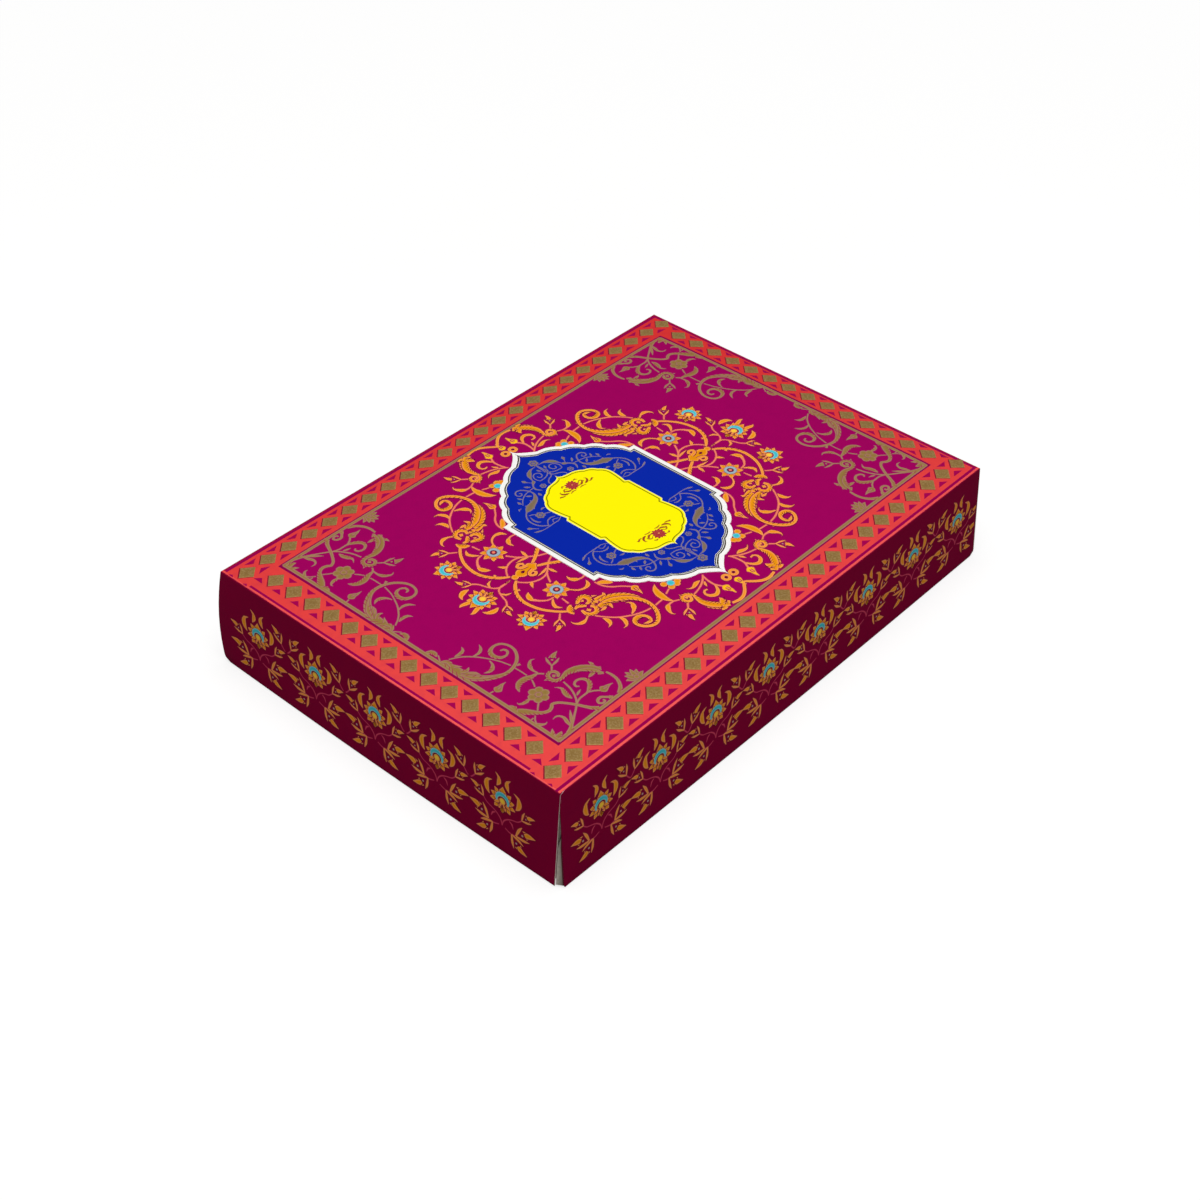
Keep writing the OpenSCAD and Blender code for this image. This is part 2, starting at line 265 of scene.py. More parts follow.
# Offset inks of the yellow label, and ink that has cracked off the board
RUBY = [(0, "#D87840"), (0.12, "#B03A36"), (0.4, "#A42834"), (0.8, "#B23A48")]
BRONZE = [(0, "#E8C800"), (0.12, "#C08A18"), (0.3, "#9A4A20"), (0.6, "#8C2E26")]
# The label's pale rim is a painted highlight along its edge, over the white of its cut side
LEMON = [(0, "#FFFBC8"), (0.25, "#FFF98A"), (0.5, "#FFF500"), (1, "#FFF400")]
CRACKED = [(0, "#C87888"), (0.1, "#F0D8DC")]
INKS = {
    "orange": relief_ink("embossed orange ink", ORANGE),
    "stem": relief_ink("embossed crimson ink", [(0, "#7E0834"), (0.14, "#B42850"), (0.3, "#CC3E5C")]),
    "vine": relief_ink("embossed salmon ink", VINE),
    "yellow": relief_ink("embossed yellow ink", YELLOW),
    "turquoise": relief_ink("embossed turquoise ink", TURQUOISE),
    "grey": relief_ink("embossed grey-blue ink", [(0, "#5A3A4A"), (0.15, "#93A6B4"), (0.5, "#9DB4C2")]),
    "eye": relief_ink("embossed pale yellow ink", [(0, "#B0504A"), (0.25, "#F2A048"), (0.9, "#FBD03C")]),
    "pollen": relief_ink("embossed pink ink", [(0, "#7A3040"), (0.3, "#C89A9C"), (0.6, "#D0A8A8")]),
    # The dark window under each diamond, set off to one side, is also a painted shadow
    "window": relief_ink("dark red ink round the lattice, offset as painted shade", [(0, "#B02A30"), (0.3, "#7E1230")]),
    "shadow": relief_ink("dark crimson ink", [(0, "#6A0030"), (1, "#6A0030")]),
    "magenta": relief_ink("magenta ink", [(0, "#A0004E"), (1, "#A0004E")]),
    "gold": relief_ink("hot-stamped dull gold foil", GOLD, 0.42, metallic=0.15),
    "diamond": relief_ink("hot-stamped gold foil, lattice", DIAMOND, 0.4, 0.7, 0.15, "#B49868"),
    "mauve": relief_ink("hot-stamped foil on blue", MAUVE, 0.45),
    "frame": relief_ink("hot-stamped foil keyline", FOIL_LINE, metallic=0.2),
    "blue": relief_ink("royal blue ink", [(0, "#0325A5"), (1, "#0325A5")]),
    "olive": relief_ink("thin olive keyline", [(0, "#8E880C"), (0.12, "#66620A"), (0.3, "#66620A")]),
    "ruby": relief_ink("dark red ink", RUBY),
    "bronze": relief_ink("brown-gold ink", BRONZE),
    "crack": relief_ink("cracked print with the white board showing", CRACKED, 0.7),
    "card": relief_ink("white card stock", [(0, "#E9E9E6"), (0.3, "#F6F6F3")], 0.6),
    "lemon": relief_ink("bright yellow ink with a painted edge highlight", LEMON, 0.5),
}
TOP_PRINT, WALL_PRINT = printed_top(), printed_wall()


# Drawing tools for the print: every shape is a low closed form lying on the board


class Print:
    """Gathers embossed shapes for one piece, with each point's distance in from the outline."""

    def __init__(self, place, inks):
        self.place, self.inks = place, inks
        self.points, self.inset, self.faces, self.slots = [], [], [], []

    def point(self, x, y, up, inset=0.0):
        self.points.append(self.place(x, y, up))
        self.inset.append(inset)
        return len(self.points) - 1

    def face(self, ink, *corners):
        self.faces.append(corners)
        self.slots.append(self.inks.index(ink))

    def belt(self, ink, outer, inner):
        """Joins two loops by a ring of faces."""
        for i in range(len(outer)):
            self.face(ink, outer[i - 1], outer[i], inner[i], inner[i - 1])

    def peak(self, ink, loop, tip):
        """Closes a loop up to a tip."""
        for i in range(len(loop)):
            self.face(ink, loop[i - 1], loop[i], tip)

    def piece(self, name, body):
        """Makes the gathered shapes one mesh that rides on a body."""
        mesh = bpy.data.meshes.new(name)
        mesh.from_pydata(self.points, [], self.faces)
        for ink in self.inks:
            mesh.materials.append(INKS[ink])
        mesh.polygons.foreach_set("material_index", self.slots)
        mesh.attributes.new("inset", "FLOAT", "POINT").data.foreach_set("value", self.inset)
        tool = bmesh.new()
        tool.from_mesh(mesh)
        bmesh.ops.recalc_face_normals(tool, faces=tool.faces)
        tool.to_mesh(mesh)
        tool.free()
        made = bpy.data.objects.new(name, mesh)
        bpy.context.scene.collection.objects.link(made)
        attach(made, body)
        return made


def flow(points, step):
    """A smooth line through points (x, y, half width)."""
    if len(points) == 2:
        points = [points[0], tuple((a + b) / 2 for a, b in zip(*points)), points[1]]
    ends = [points[0], *points, points[-1]]
    line = []
    for knots in zip(ends, ends[1:], ends[2:], ends[3:]):
        count = max(2, round(math.dist(knots[1][:2], knots[2][:2]) / step))
        for t in (i / count for i in range(count)):
            line.append(tuple(
                0.5 * (
                    2 * q + (r - p) * t + (2 * p - 5 * q + 4 * r - s) * t * t
                    + (3 * q - p - 3 * r + s) * t ** 3
                )
                for p, q, r, s in zip(*knots)
            ))
    return line + [points[-1]]


# The dark keyline that the plate prints round a shape, outside the shape's own width, and that also paints
# the shade along the emboss's edge
KEYLINE_AND_EDGE_SHADE = {
    "orange": 0.27, "vine": 0.16, "stem": 0.1, "yellow": 0.24,
    "eye": 0.14, "gold": 0.08, "turquoise": 0.1, "ruby": 0.05,
}


def stroke(sheet, ink, points, layer=0, step=1.0):
    """A tapering ridge along a line, like one stroke of a brush."""
    line = flow(points, step)
    floor = FILM + LAYER * layer
    rows = []
    for i, (x, y, w) in enumerate(line):
        (ax, ay, _), (bx, by, _) = line[max(0, i - 1)], line[min(len(line) - 1, i + 1)]
        w = max(0.06, w) + KEYLINE_AND_EDGE_SHADE.get(ink, 0.0)
        size = (math.hypot(bx - ax, by - ay) or 1.0) / w
        dx, dy = (bx - ax) / size, (by - ay) / size
        rows.append((
            sheet.point(x + dy, y - dx, floor),
            sheet.point(x, y, floor + 0.03 * min(1, w), w),
            sheet.point(x - dy, y + dx, floor),
        ))
    for here, there in zip(rows, rows[1:]):
        sheet.belt(ink, here, there)
    sheet.face(ink, *rows[0])
    sheet.face(ink, *rows[-1])


def leaf(sheet, ink, cut, line, layer):
    """An acanthus stroke with dark cuts between its lobes, on its outer side."""
    stroke(sheet, ink, line, layer)
    spine = flow(line, 2.2)
    way = 1 if layer % 2 else -1
    for (ax, ay, w), (bx, by, _) in zip(spine[1:], spine[2:]):
        if w > 0.78:
            size = (math.dist((ax, ay), (bx, by)) or 1.0) / w
            dx, dy = (bx - ax) / size, (by - ay) / size
            notch = [
                (ax - dy * way * out + dx * on, ay + dx * way * out + dy * on, half)
                for out, on, half in ((0.2, -0.3, 0.08), (1.2, 0.9, 0.16))
            ]
            stroke(sheet, cut, notch, layer + 1, 4)


def disc(sheet, ink, x, y, r, layer=0, sides=12):
    """A low pointed boss."""
    floor = FILM + LAYER * layer
    r += KEYLINE_AND_EDGE_SHADE.get(ink, 0.0)
    loop = [sheet.point(*polar(x, y, 360 * i / sides, r), floor) for i in range(sides)]
    sheet.peak(ink, loop, sheet.point(x, y, floor + 0.04, r))
    sheet.face(ink, *loop)


def tablet(sheet, ink, corners, layer, edge, height):
    """A flat-topped shape with a bevelled edge."""
    floor = FILM + LAYER * layer
    mx, my = (sum(c[i] for c in corners) / len(corners) for i in (0, 1))
    inner = 1 - edge / min(math.dist(c, (mx, my)) for c in corners)
    low = [sheet.point(x, y, floor) for x, y in corners]
    high = [(mx + (x - mx) * inner, my + (y - my) * inner) for x, y in corners]
    high = [sheet.point(x, y, floor + height, edge) for x, y in high]
    sheet.belt(ink, low, high)
    sheet.peak(ink, high, sheet.point(mx, my, floor + height, 1.2))
    sheet.face(ink, *low)


def polar(x, y, angle, r):
    """The point at an angle in degrees and a distance from (x, y)."""
    return x + r * math.cos(math.radians(angle)), y + r * math.sin(math.radians(angle))


def petal(sheet, ink, x, y, angle, inner, outer, w, layer=0):
    """A pointed petal that stands out from a middle."""
    steps = ((inner, w * 0.45), (inner + (outer - inner) * 0.45, w), (outer, 0.1))
    stroke(sheet, ink, [(*polar(x, y, angle, r), half) for r, half in steps], layer, 0.9)


def ring(sheet, ink, x, y, r, w, layer, begin=0.0, sweep=360.0, taper=False):
    """A ridge along a circle or an arc."""
    count = round(sweep / 30)
    line = []
    for t in (i / count for i in range(count + 1)):
        width = w * (math.sin(math.pi * (0.08 + 0.84 * t)) if taper else 1)
        line.append((*polar(x, y, begin + sweep * t, r), width))
    stroke(sheet, ink, line, layer, 0.7)


def motif(x, y, angle, size=1.0, flip=1):
    """Turns a motif's own lengths (out from its base, across, half width) into the sheet's."""
    c, s = polar(0, 0, angle, size)
    return lambda line: [(x + u * c - v * flip * s, y + u * s + v * flip * c, w * size) for u, v, w in line]


def star(sheet, x, y):
    """Eight-pointed star flower with a pale ring."""
    for k in range(8):
        petal(sheet, "orange", x, y, 45 * k, 1.8, 5.4, 1.35)
        petal(sheet, "vine", x, y, 45 * k + 22.5, 2.0, 4.0, 0.5, 1)
    ring(sheet, "grey", x, y, 2.05, 0.7, 3)
    disc(sheet, "shadow", x, y, 1.3, 3)
    disc(sheet, "vine", x, y, 0.7, 4)


def lotus(sheet, x, y, angle, size=1.0):
    """Lotus flower: a crown petal, rounded and pointed side petals, a turquoise crescent and an eye."""
    put = motif(x, y, angle, size)
    stroke(sheet, "orange", put([(2.4, 0, 1.6), (3.9, 0, 1.95), (5.1, 0, 1.1), (6.6, 0, .1)]), 1)
    # Broad petals behind, short ones in front of the gaps between them
    broad = ((42, 6, 1.15), (74, 5.9, 1.15), (104, 6.3, 1.2), (138, 5.8, 1.15), (180, 5.8, 1.2))
    for way in (-1, 1):
        for k, (turn, reach, w) in enumerate(broad):
            steps = ((2, .7), (3.6, 1), (4.8, .8), (reach, .1))
            stroke(sheet, "orange", put([(*polar(0, 0, turn * way, r), w * f) for r, f in steps]), k % 2)
        for turn in (22, 58, 89, 121, 159):
            steps = ((2, .6), (3.3, .8), (4.6, .08))
            stroke(sheet, "orange", put([(*polar(0, 0, turn * way, r), w) for r, w in steps]), 2)
        tail = [(-1.5, .5 * way, .4), (-2.4, .9 * way, .5), (-3.2, 1.1 * way, .1)]
        stroke(sheet, "orange", put(tail), 3, 0.6)
    ring(sheet, "turquoise", x, y, 2.85 * size, size, 3, angle - 112, 224, True)
    disc(sheet, "eye", *polar(x, y, angle + 180, 0.2 * size), 1.45 * size, 3)


def bud(sheet, x, y, angle, size=1.0, flip=1, ink="orange"):
    """Tulip bud on its stem's end: two sepals, an eye between them and a curled, barbed head."""
    put = motif(x, y, angle, size, flip)
    for way in (-1, 1):
        sepal = [(0, 0, .3), (2.2, 1.5 * way, .55), (3.4, 2.1 * way, .42), (4.7, 2.6 * way, .08)]
        stroke(sheet, ink, put(sepal))
        stroke(sheet, ink, put([(5.4, .5 * way, .6), (4.7, 1.1 * way, .35), (4.2, 1.5 * way, .08)]), 1, 0.7)
    stroke(sheet, ink, put([(4.3, 0, .7), (5.5, -.15, 1.05), (6.8, -.75, .72), (8.3, -1.65, .08)]), 2)
    eye = "pollen" if "pollen" in sheet.inks else ink
    disc(sheet, eye, *polar(x, y, angle, 3.2 * size), 0.5 * size, 2, 8)


def heart(sheet, ink, x, y, angle, size=1.0):
    """Spade-shaped bud: wide at its stem, drawn out to a flame."""
    put = motif(x, y, angle, size)
    flame = [(-.2, 0, .3), (.5, 0, 1.3), (1.4, 0, 1.75), (2.5, 0, 1.15), (4, .2, .62), (6, -.1, .08)]
    stroke(sheet, ink, put(flame), 0, 0.7)
    rib = "orange" if ink == "yellow" else ink
    stroke(sheet, rib, put([(1.2, 0, .25), (2.4, 0, .45), (3.4, 0, .1)]), 1, 0.7)


# One quarter of the orange scrollwork, left of and in front of its middle: points (x, y, half width)
VINES = [
    ((-58.8, -2.4, .35), (-57.3, -4.6, .35), (-55, -6.6, .4), (-51.5, -7.8, .4), (-48, -7.4, .4),
     (-45, -5.4, .4), (-42, -3, .4), (-38, -1, .35)),
    ((-45.5, -5.6, .3), (-48, -8.2, .35), (-50.3, -11.8, .4)),
    ((-56, -18.9, .35), (-58.8, -18.4, .4), (-61.3, -16.1, .5), (-62.4, -14, .7)),
    ((-54.4, -21.6, .3), (-54.9, -25.4, .4)),
    ((-38, -18.5, .35), (-40.5, -18.8, .4), (-42.2, -18, .6)),
    ((-59.8, 0, .35), (-62.5, 0, .4), (-65.5, 0, .4), (-67.5, -1.4, .35), (-68.8, -4.4, .35),
     (-69.8, -7.4, .35), (-71.5, -9.4, .4)),
    ((-64, -29.2, .4), (-61.3, -27, .3)),
    ((-53.5, -37.4, .35), (-51.3, -40.9, .35), (-48.3, -44.4, .4), (-44.5, -47, .4), (-40.5, -48.9, .4),
     (-36, -49.9, .35)),
    ((-33.8, -50, .35), (-29, -49.6, .4)),
    ((-25.9, -48.6, .35), (-22.8, -47.4, .35)),
    ((-31.3, -36.3, .35), (-34, -33.1, .35), (-36.8, -30.6, .4), (-38.5, -27.6, .4), (-38.9, -24, .35)),
    ((-25, -54.6, .35), (-27, -53.5, .35), (-29, -53.3, .45), (-30.3, -53.5, .6)),
    ((-24.3, -57.9, .4), (-26.5, -60, .35)),
    ((-18.8, -56.5, .35), (-15.5, -55.8, .35), (-12, -54.5, .4), (-9, -52.6, .4), (-7.7, -51.4, .3)),
    ((-8.3, -52.3, .35), (-9, -55.1, .4), (-9, -58.6, .45), (-7.6, -61.3, .4)),
]
LEAVES = [
    ((-54.8, -6.6, .3), (-56, -7.4, .8), (-57.2, -9.4, .1)),
    ((-44.8, -5.6, .4), (-44.5, -7.6, .75), (-44.1, -9.6, .1)),
    ((-45, -4.8, .3), (-47.5, -5.5, .6), (-50.8, -5.8, .1)),
    ((-62.5, -14.6, .5), (-62.6, -13, 1.15), (-61.8, -11.2, 1), (-60.4, -9.8, .1)),
    ((-57, -19.4, .3), (-58.8, -21.2, .7), (-59.6, -23.4, .8), (-58.2, -25.4, .1)),
    ((-48.6, -20.1, .35), (-46.8, -22.6, .45), (-44, -23.8, .6), (-41.5, -23.1, .9), (-40.2, -20.8, .1)),
    ((-41.6, -18.5, .5), (-42.8, -17.6, 1.05), (-43.9, -15.9, .7), (-43.5, -13.8, .1)),
    ((-68, -2.8, .3), (-67, -4.8, .6), (-64.8, -5.4, .1)),
    ((-78.6, -2, .9), (-81, -2.7, 1), (-83, -3.2, .7), (-84.2, -2.8, .1)),
    ((-74.4, -7.8, .3), (-77, -8.1, 1.2), (-79.4, -6.9, .8), (-80.2, -5.2, .1)),
    ((-52.6, -40.4, .1), (-52.1, -42.4, 1), (-52.7, -44.4, .8), (-54, -45.4, .3), (-55, -45.5, .1)),
    ((-48, -44.6, .4), (-47.8, -46.9, .9), (-48.8, -48.9, .8), (-50, -49.9, .35), (-51.5, -49.9, .1)),
    ((-43.3, -46.8, .35), (-41.2, -45.9, .7), (-39.7, -44.5, 1.1), (-38.8, -42.9, .75), (-39.2, -41.5, .3),
     (-40.2, -40.9, .1)),
    ((-55.3, -35.4, .4), (-57.3, -36.5, .5), (-59.3, -36.8, .95), (-61, -36.1, .65), (-62.1, -34.6, .35),
     (-62.1, -33.3, .1)),
    ((-38.5, -25.2, .6), (-36.8, -26.4, 1.2), (-35, -28.5, .9), (-34.3, -29.3, .2)),
    ((-27.2, -53.1, .3), (-28, -50.9, 1), (-28, -48.4, 1.5), (-27.6, -45.9, 1.45), (-26.4, -43.5, .95),
     (-24.6, -41.7, .1)),
    ((-30.2, -53.5, .7), (-31.4, -54.2, 1.1), (-32.6, -56, .75), (-33, -57.6, .4), (-32.3, -58.8, .1)),
    ((-11.2, -52.9, .25), (-13.3, -52.8, 1), (-15.6, -53.6, .7), (-17.4, -53.2, .3), (-18.4, -52.2, .1)),
    ((-11.8, -57.1, .1), (-11.4, -55.8, .6), (-10.4, -54.5, .3)),
    ((-9.2, -58.9, .4), (-10.7, -61.4, .75), (-13, -62.6, .95), (-15.2, -61.4, .8), (-15.8, -59.4, .55),
     (-14.6, -58, .5), (-13.1, -58.3, .4)),
]
# The broad acanthus scrolls: layer, then the line
ACANTHUS = [
    (0, (-58.3, -1.6, .5), (-61.2, -3.8, .75), (-64, -7.4, .8), (-65.5, -11.6, .8), (-65.4, -16.1, .75),
     (-64.2, -20.6, .7), (-62, -24.4, .65), (-59.8, -27.1, .65), (-58.2, -28.5, .5)),
    (0, (-62.8, -5.9, .3), (-61.4, -6.5, .65)),
    (0, (-46.5, -1.2, .6), (-43, -3, .75), (-40, -5, .85), (-37.6, -6.4, .9)),
    (0, (-58, -31.1, .3), (-57.8, -29.1, 1.3), (-56.3, -27.4, 1.2), (-55, -26.4, .2)),
    (1, (-53.2, -27.9, .5), (-51.3, -27.1, 1), (-49.5, -26.3, 1.05), (-47.9, -27, 1.25),
     (-47.6, -29.1, 1.2), (-49, -30.6, .9), (-50.8, -30.4, .5)),
    (2, (-50.8, -28.6, .5), (-49.8, -28, .4)),
    (1, (-55.8, -29.6, .4), (-54, -29.1, .9), (-52.5, -30.2, .9), (-51.5, -31.4, .5)),
    (0, (-54.5, -31.8, .6), (-54.8, -34.4, .9), (-53.3, -36.1, 1), (-51, -36.2, 1), (-49.6, -34.1, .9),
     (-50.5, -32.4, .6)),
    (1, (-53, -32.9, .7), (-52.2, -34.3, .8)),
    (0, (-49.3, -32.6, .6), (-47.8, -31.9, 1), (-47, -33.1, .5)),
    (0, (-46.8, -31.2, .9), (-44.6, -32, 1.4), (-42.4, -32.1, 1.1), (-41.5, -30.5, .2)),
    (0, (-46, -28.9, .6), (-44.2, -30, .1)),
    (0, (-48.6, -35.2, 1.1), (-46.3, -35.2, 1.5), (-44.8, -36.8, 1), (-45.6, -39.3, .2)),
    (0, (-50, -37.1, .1), (-48.3, -37.2, .7), (-46.8, -36.9, .5)),
    (1, (-46, -32.9, .8), (-42.8, -33.6, 1.3), (-39.3, -35.2, 1.25), (-36.8, -37.6, 1.15), (-35, -40.6, .9),
     (-34.4, -44.1, .7)),
    (2, (-46, -34.4, .7), (-42.5, -35.9, 1.3), (-39, -38.3, 1.35), (-36.3, -41.1, 1.15),
     (-34.7, -44.6, .95), (-34.4, -48.1, .85), (-35.4, -51.6, .85), (-37.6, -54.8, .9), (-40.5, -56.8, .85),
     (-43.5, -56.6, .75), (-45.9, -54.4, .75), (-46.6, -52.1, .8), (-45.6, -50.3, 1.1),
     (-43.3, -49.7, 1.15), (-41.2, -50.8, .75), (-40.6, -52.8, .75), (-41.6, -54.6, .8), (-43.4, -54.4, .6),
     (-44.6, -53.6, .1)),
    (1, (-43, -36.8, .7), (-41.6, -38.6, .1)),
    (1, (-40.3, -38.8, .7), (-39.2, -40.4, .1)),
    (0, (-36, -52, .4), (-34.4, -52.3, .65)),
    (0, (-19.6, -57.6, .8), (-19.9, -55.6, .85), (-21.3, -54.2, .85), (-23.3, -54.3, .9),
     (-24.3, -55.9, .85), (-23.4, -57.6, .75), (-21.8, -57.8, .7), (-21, -56.5, .6), (-21.8, -55.5, .5),
     (-22.8, -55.9, .7)),
    (1, (-19.4, -56.6, .6), (-19.9, -59.1, 1), (-20.1, -61.6, 1.3), (-19.1, -64.4, 1.5),
     (-17.3, -66.8, 1.5), (-15.5, -68.6, 1.3), (-13.8, -69.9, .9)),
    (0, (-20.5, -62.5, .5), (-20, -65, 1.2), (-18.2, -67.6, 1.2), (-16.2, -69.6, 1.1)),
    (2, (-15.8, -67.6, 1), (-14.2, -66.6, 1.3), (-13.9, -64.6, .1)),
    (2, (-16, -69.4, 1.2), (-17.2, -69.8, .9), (-18.5, -69.9, .3)),
    (3, (-14, -69.1, .9), (-12.6, -68.3, .5)),
    (0, (-20.2, -65.6, .6), (-20, -67.2, .1)),
    (0, (-12.6, -70, .6), (-9, -70.8, .75), (-6, -70.2, .75), (-3.5, -68.6, .7), (-1, -66.2, .65),
     (0, -65.2, .4)),
    (0, (-22.9, -53.8, .5), (-23, -52.4, .1)),
]
# The knot at each end of the scrollwork's long middle line, and the curls beside it
KNOT = [
    (56.2, 0, 1), (54.6, 0, 2.3), (53, 0, 2.5), (51.2, 0, 1.9), (49.5, 0, 2.4), (48, 0, 2.6),
    (46.8, 0, 1.2), (45.6, 0, .3),
]
KNOT_CURL = [
    (49, 1.6, .8), (51.6, 2.2, .8), (52.4, 3.6, .7), (50.9, 4.5, .7), (49.5, 3.6, .65), (50, 2.6, .4),
]
# One quarter of the gold corner scrolls: layer, then the line
CORNER = [
    (0, (-110, -51.5, 1.6), (-108.3, -53.5, 1.5), (-106.5, -56, 1.1), (-104.7, -58.2, .8),
     (-102.2, -59.3, .75), (-100.2, -58.6, .7), (-99.2, -57.8, .65), (-97.2, -58.8, .6), (-95.3, -61.3, .6),
     (-93.5, -64.3, .65), (-92.2, -67, .7), (-90.8, -69.5, .85), (-89.2, -71.2, 1)),
    (0, (-110.3, -51, .6), (-109.5, -49.2, 1.1), (-109.8, -47, .2)),
    (0, (-78.5, -71.3, 1), (-75.8, -69.3, .75), (-74, -66.5, .65), (-73.4, -63.5, .6), (-73.7, -60.5, .45)),
    (1, (-74.5, -58.3, 1), (-75.3, -55.8, 1.35), (-78, -53, 1.7), (-81, -51.3, 1.6), (-84, -50.6, 1.1),
     (-87, -51.2, .85), (-89.4, -50.6, .9), (-90.3, -48.6, .95), (-89.5, -46.6, .85), (-87.7, -45.9, .8),
     (-86.2, -47, .75), (-86.3, -48.9, .7), (-87.6, -49.6, .5)),
    (1, (-88.6, -48.8, .5), (-87.6, -47.9, .7)),
    (2, (-80.5, -52.4, .4), (-77.5, -54.8, 1), (-75.8, -57.5, .9), (-75.2, -59.5, .5)),
    (0, (-75, -55.2, 1), (-74, -53.8, .7), (-74, -52.2, .1)),
    (0, (-76.8, -57.3, .9), (-78.7, -57.7, .7), (-80.2, -57.9, .1)),
    (0, (-74.6, -58, .9), (-73.2, -56.9, .5)),
    (0, (-76.4, -58.9, .6), (-74.6, -60.2, .6)),
    (0, (-90.5, -48, .6), (-91.4, -47.7, .4), (-92.2, -47.3, .1)),
    (0, (-81.5, -71, .6), (-83.6, -69, .55), (-84.8, -67.9, .6), (-86.6, -68.1, .6), (-87.4, -69.5, .55),
     (-86.3, -70.5, .5), (-85, -70.2, .45), (-85.2, -69.3, .4)),
    (0, (-82.6, -71, .9), (-82, -69.6, .2)),
    (0, (-102.5, -70, .7), (-98.5, -67.7, .45), (-93.5, -64.3, .4), (-91, -61.5, .4), (-89, -57.5, .4),
     (-88, -53, .35)),
    (0, (-93, -64, .35), (-90.5, -63, .4), (-86.5, -62.9, .45), (-84.6, -62.2, .8), (-82.3, -60.5, .95),
     (-81.5, -58.5, .85), (-82.5, -56.6, .6), (-84.4, -55.8, .5), (-86.3, -56.6, .5), (-86.6, -58, .45),
     (-85.8, -58.6, .3)),
    (0, (-86, -63, .3), (-83.8, -64.1, .4), (-82.4, -65.5, .35)),
    (0, (-92.2, -61, .2), (-92.3, -59, .95), (-91.7, -56.8, 1), (-91, -55, .6), (-91.5, -53.6, .3),
     (-92.4, -52.6, .1)),
    (0, (-90, -61.2, .2), (-88.5, -60.6, .5), (-86.8, -60.1, .1)),
    (0, (-102.6, -70.2, .4), (-102, -67.5, .75), (-101.3, -65.5, .6), (-101.8, -63.8, .45),
     (-103, -63, .35), (-104.6, -63.2, .1)),
    (0, (-102, -69.8, .3), (-99.5, -67.2, .65), (-97, -64.4, .1)),
    (0, (-106, -71.4, .6), (-104, -71.1, .9), (-102, -69.8, .6)),
    (0, (-110.3, -68.5, 1.1), (-109.2, -67.3, .7), (-108, -66.1, .1)),
    (0, (-110, -70.2, 1.2), (-108.2, -70, 1), (-106.8, -69.4, .2)),
    (0, (-101.3, -53.5, .35), (-103, -54.6, .35), (-105, -56.3, .3)),
    (0, (-96.8, -47.2, .3), (-95.6, -45.3, .35), (-94.8, -43.6, .2)),
    (0, (-102.4, -50, .3), (-104.2, -50.2, .8), (-106, -49.9, .6), (-107.1, -48.9, .3),
     (-106.8, -48.1, .1)),
    (0, (-102.4, -45, .1), (-101.4, -43.3, .8), (-99.2, -41.8, 1.2), (-96.3, -41.8, 1.3),
     (-93.5, -42.8, .9), (-91.2, -43.1, .45), (-89.6, -45, .35)),
    (0, (-94.4, -41, .3), (-94.3, -38, .3), (-94.4, -34.8, .3)),
    (0, (-94.4, -33, .3), (-95.5, -28.5, .3), (-97, -25, .3), (-99.5, -20.5, .35), (-103, -16.5, .35),
     (-107, -14, .3)),
    (0, (-90.8, -43, .35), (-91, -40.5, .5), (-90.3, -38.6, .9), (-88.9, -37.1, .6), (-87.4, -36.4, .35),
     (-86.1, -37, .1)),
    (0, (-86.6, -45.9, .3), (-84.4, -43.8, .4)),
    (0, (-110, -37.5, .3), (-108.3, -37.8, .35)),
    (0, (-110, -60.5, .35), (-109, -58.8, .3), (-107.3, -57.3, .3)),
    (0, (-110.2, -57.8, .3), (-108.6, -57.7, .3)),
    (0, (-110.2, -60.8, .8), (-108.9, -62.2, .6), (-107.8, -62.8, .35), (-106.8, -62.5, .1)),
    (0, (-109.5, -13, .9), (-109, -17, 1.4), (-109.3, -21, 1.9), (-108.5, -26, 1.9), (-105.8, -30.3, 1.5),
     (-102.3, -33.2, 1.1), (-98.5, -34.7, .8), (-94.3, -34.3, .7), (-90.5, -32.3, .65), (-87.8, -29, .6),
     (-87, -25.5, .55), (-88.2, -22.3, .55), (-91, -21.1, .6), (-94, -22.2, .9), (-95, -24.8, 1),
     (-93.9, -27.3, .75), (-91.5, -28, .5), (-89.7, -26.8, .55), (-90, -25, .5), (-91.3, -24.7, .3)),
    (1, (-110, -13, .6), (-108.2, -14.5, .9), (-108.8, -17.5, .9)),
    (1, (-108.4, -18, .9), (-106.6, -20.4, .1)),
    (1, (-109, -21.8, .9), (-106.9, -23.2, .8), (-105.2, -22.4, .1)),
    (1, (-110, -23, .5), (-108, -27.4, 1), (-104.8, -31, .5), (-102, -33, .2)),
    (1, (-107.4, -24.4, .6), (-105.8, -26.4, .6), (-105.2, -28.4, .1)),
    (0, (-93, -34.6, .35), (-91.6, -35, .6)),
    (0, (-97.7, -25.5, .25), (-98.4, -27.7, .5), (-100.2, -29.3, .9), (-102.3, -29.5, .6),
     (-103.8, -28.6, .1)),
    (0, (-104.6, -14.5, .25), (-102.5, -15, .8), (-100.2, -14.4, .6), (-99.2, -12.7, .1)),
    (0, (-100, -19.5, .3), (-97.6, -19.8, .6), (-95.4, -18.8, .6), (-94, -16.6, .1)),
    (0, (-110.3, -5, .4), (-108.6, -6.2, 1.1), (-108.2, -8.3, .9), (-109, -9.6, .2)),
    (0, (-109.8, -12.3, .3), (-108, -9.6, .3)),
]
# Tips of the ribs of the gold shell on the frame's long side
SHELL_TIPS = [
    (-72.3, -68.9), (-70.9, -66.9), (-69.3, -65.6), (-66.9, -65.9), (-65.1, -67.4), (-64, -69.9),
]
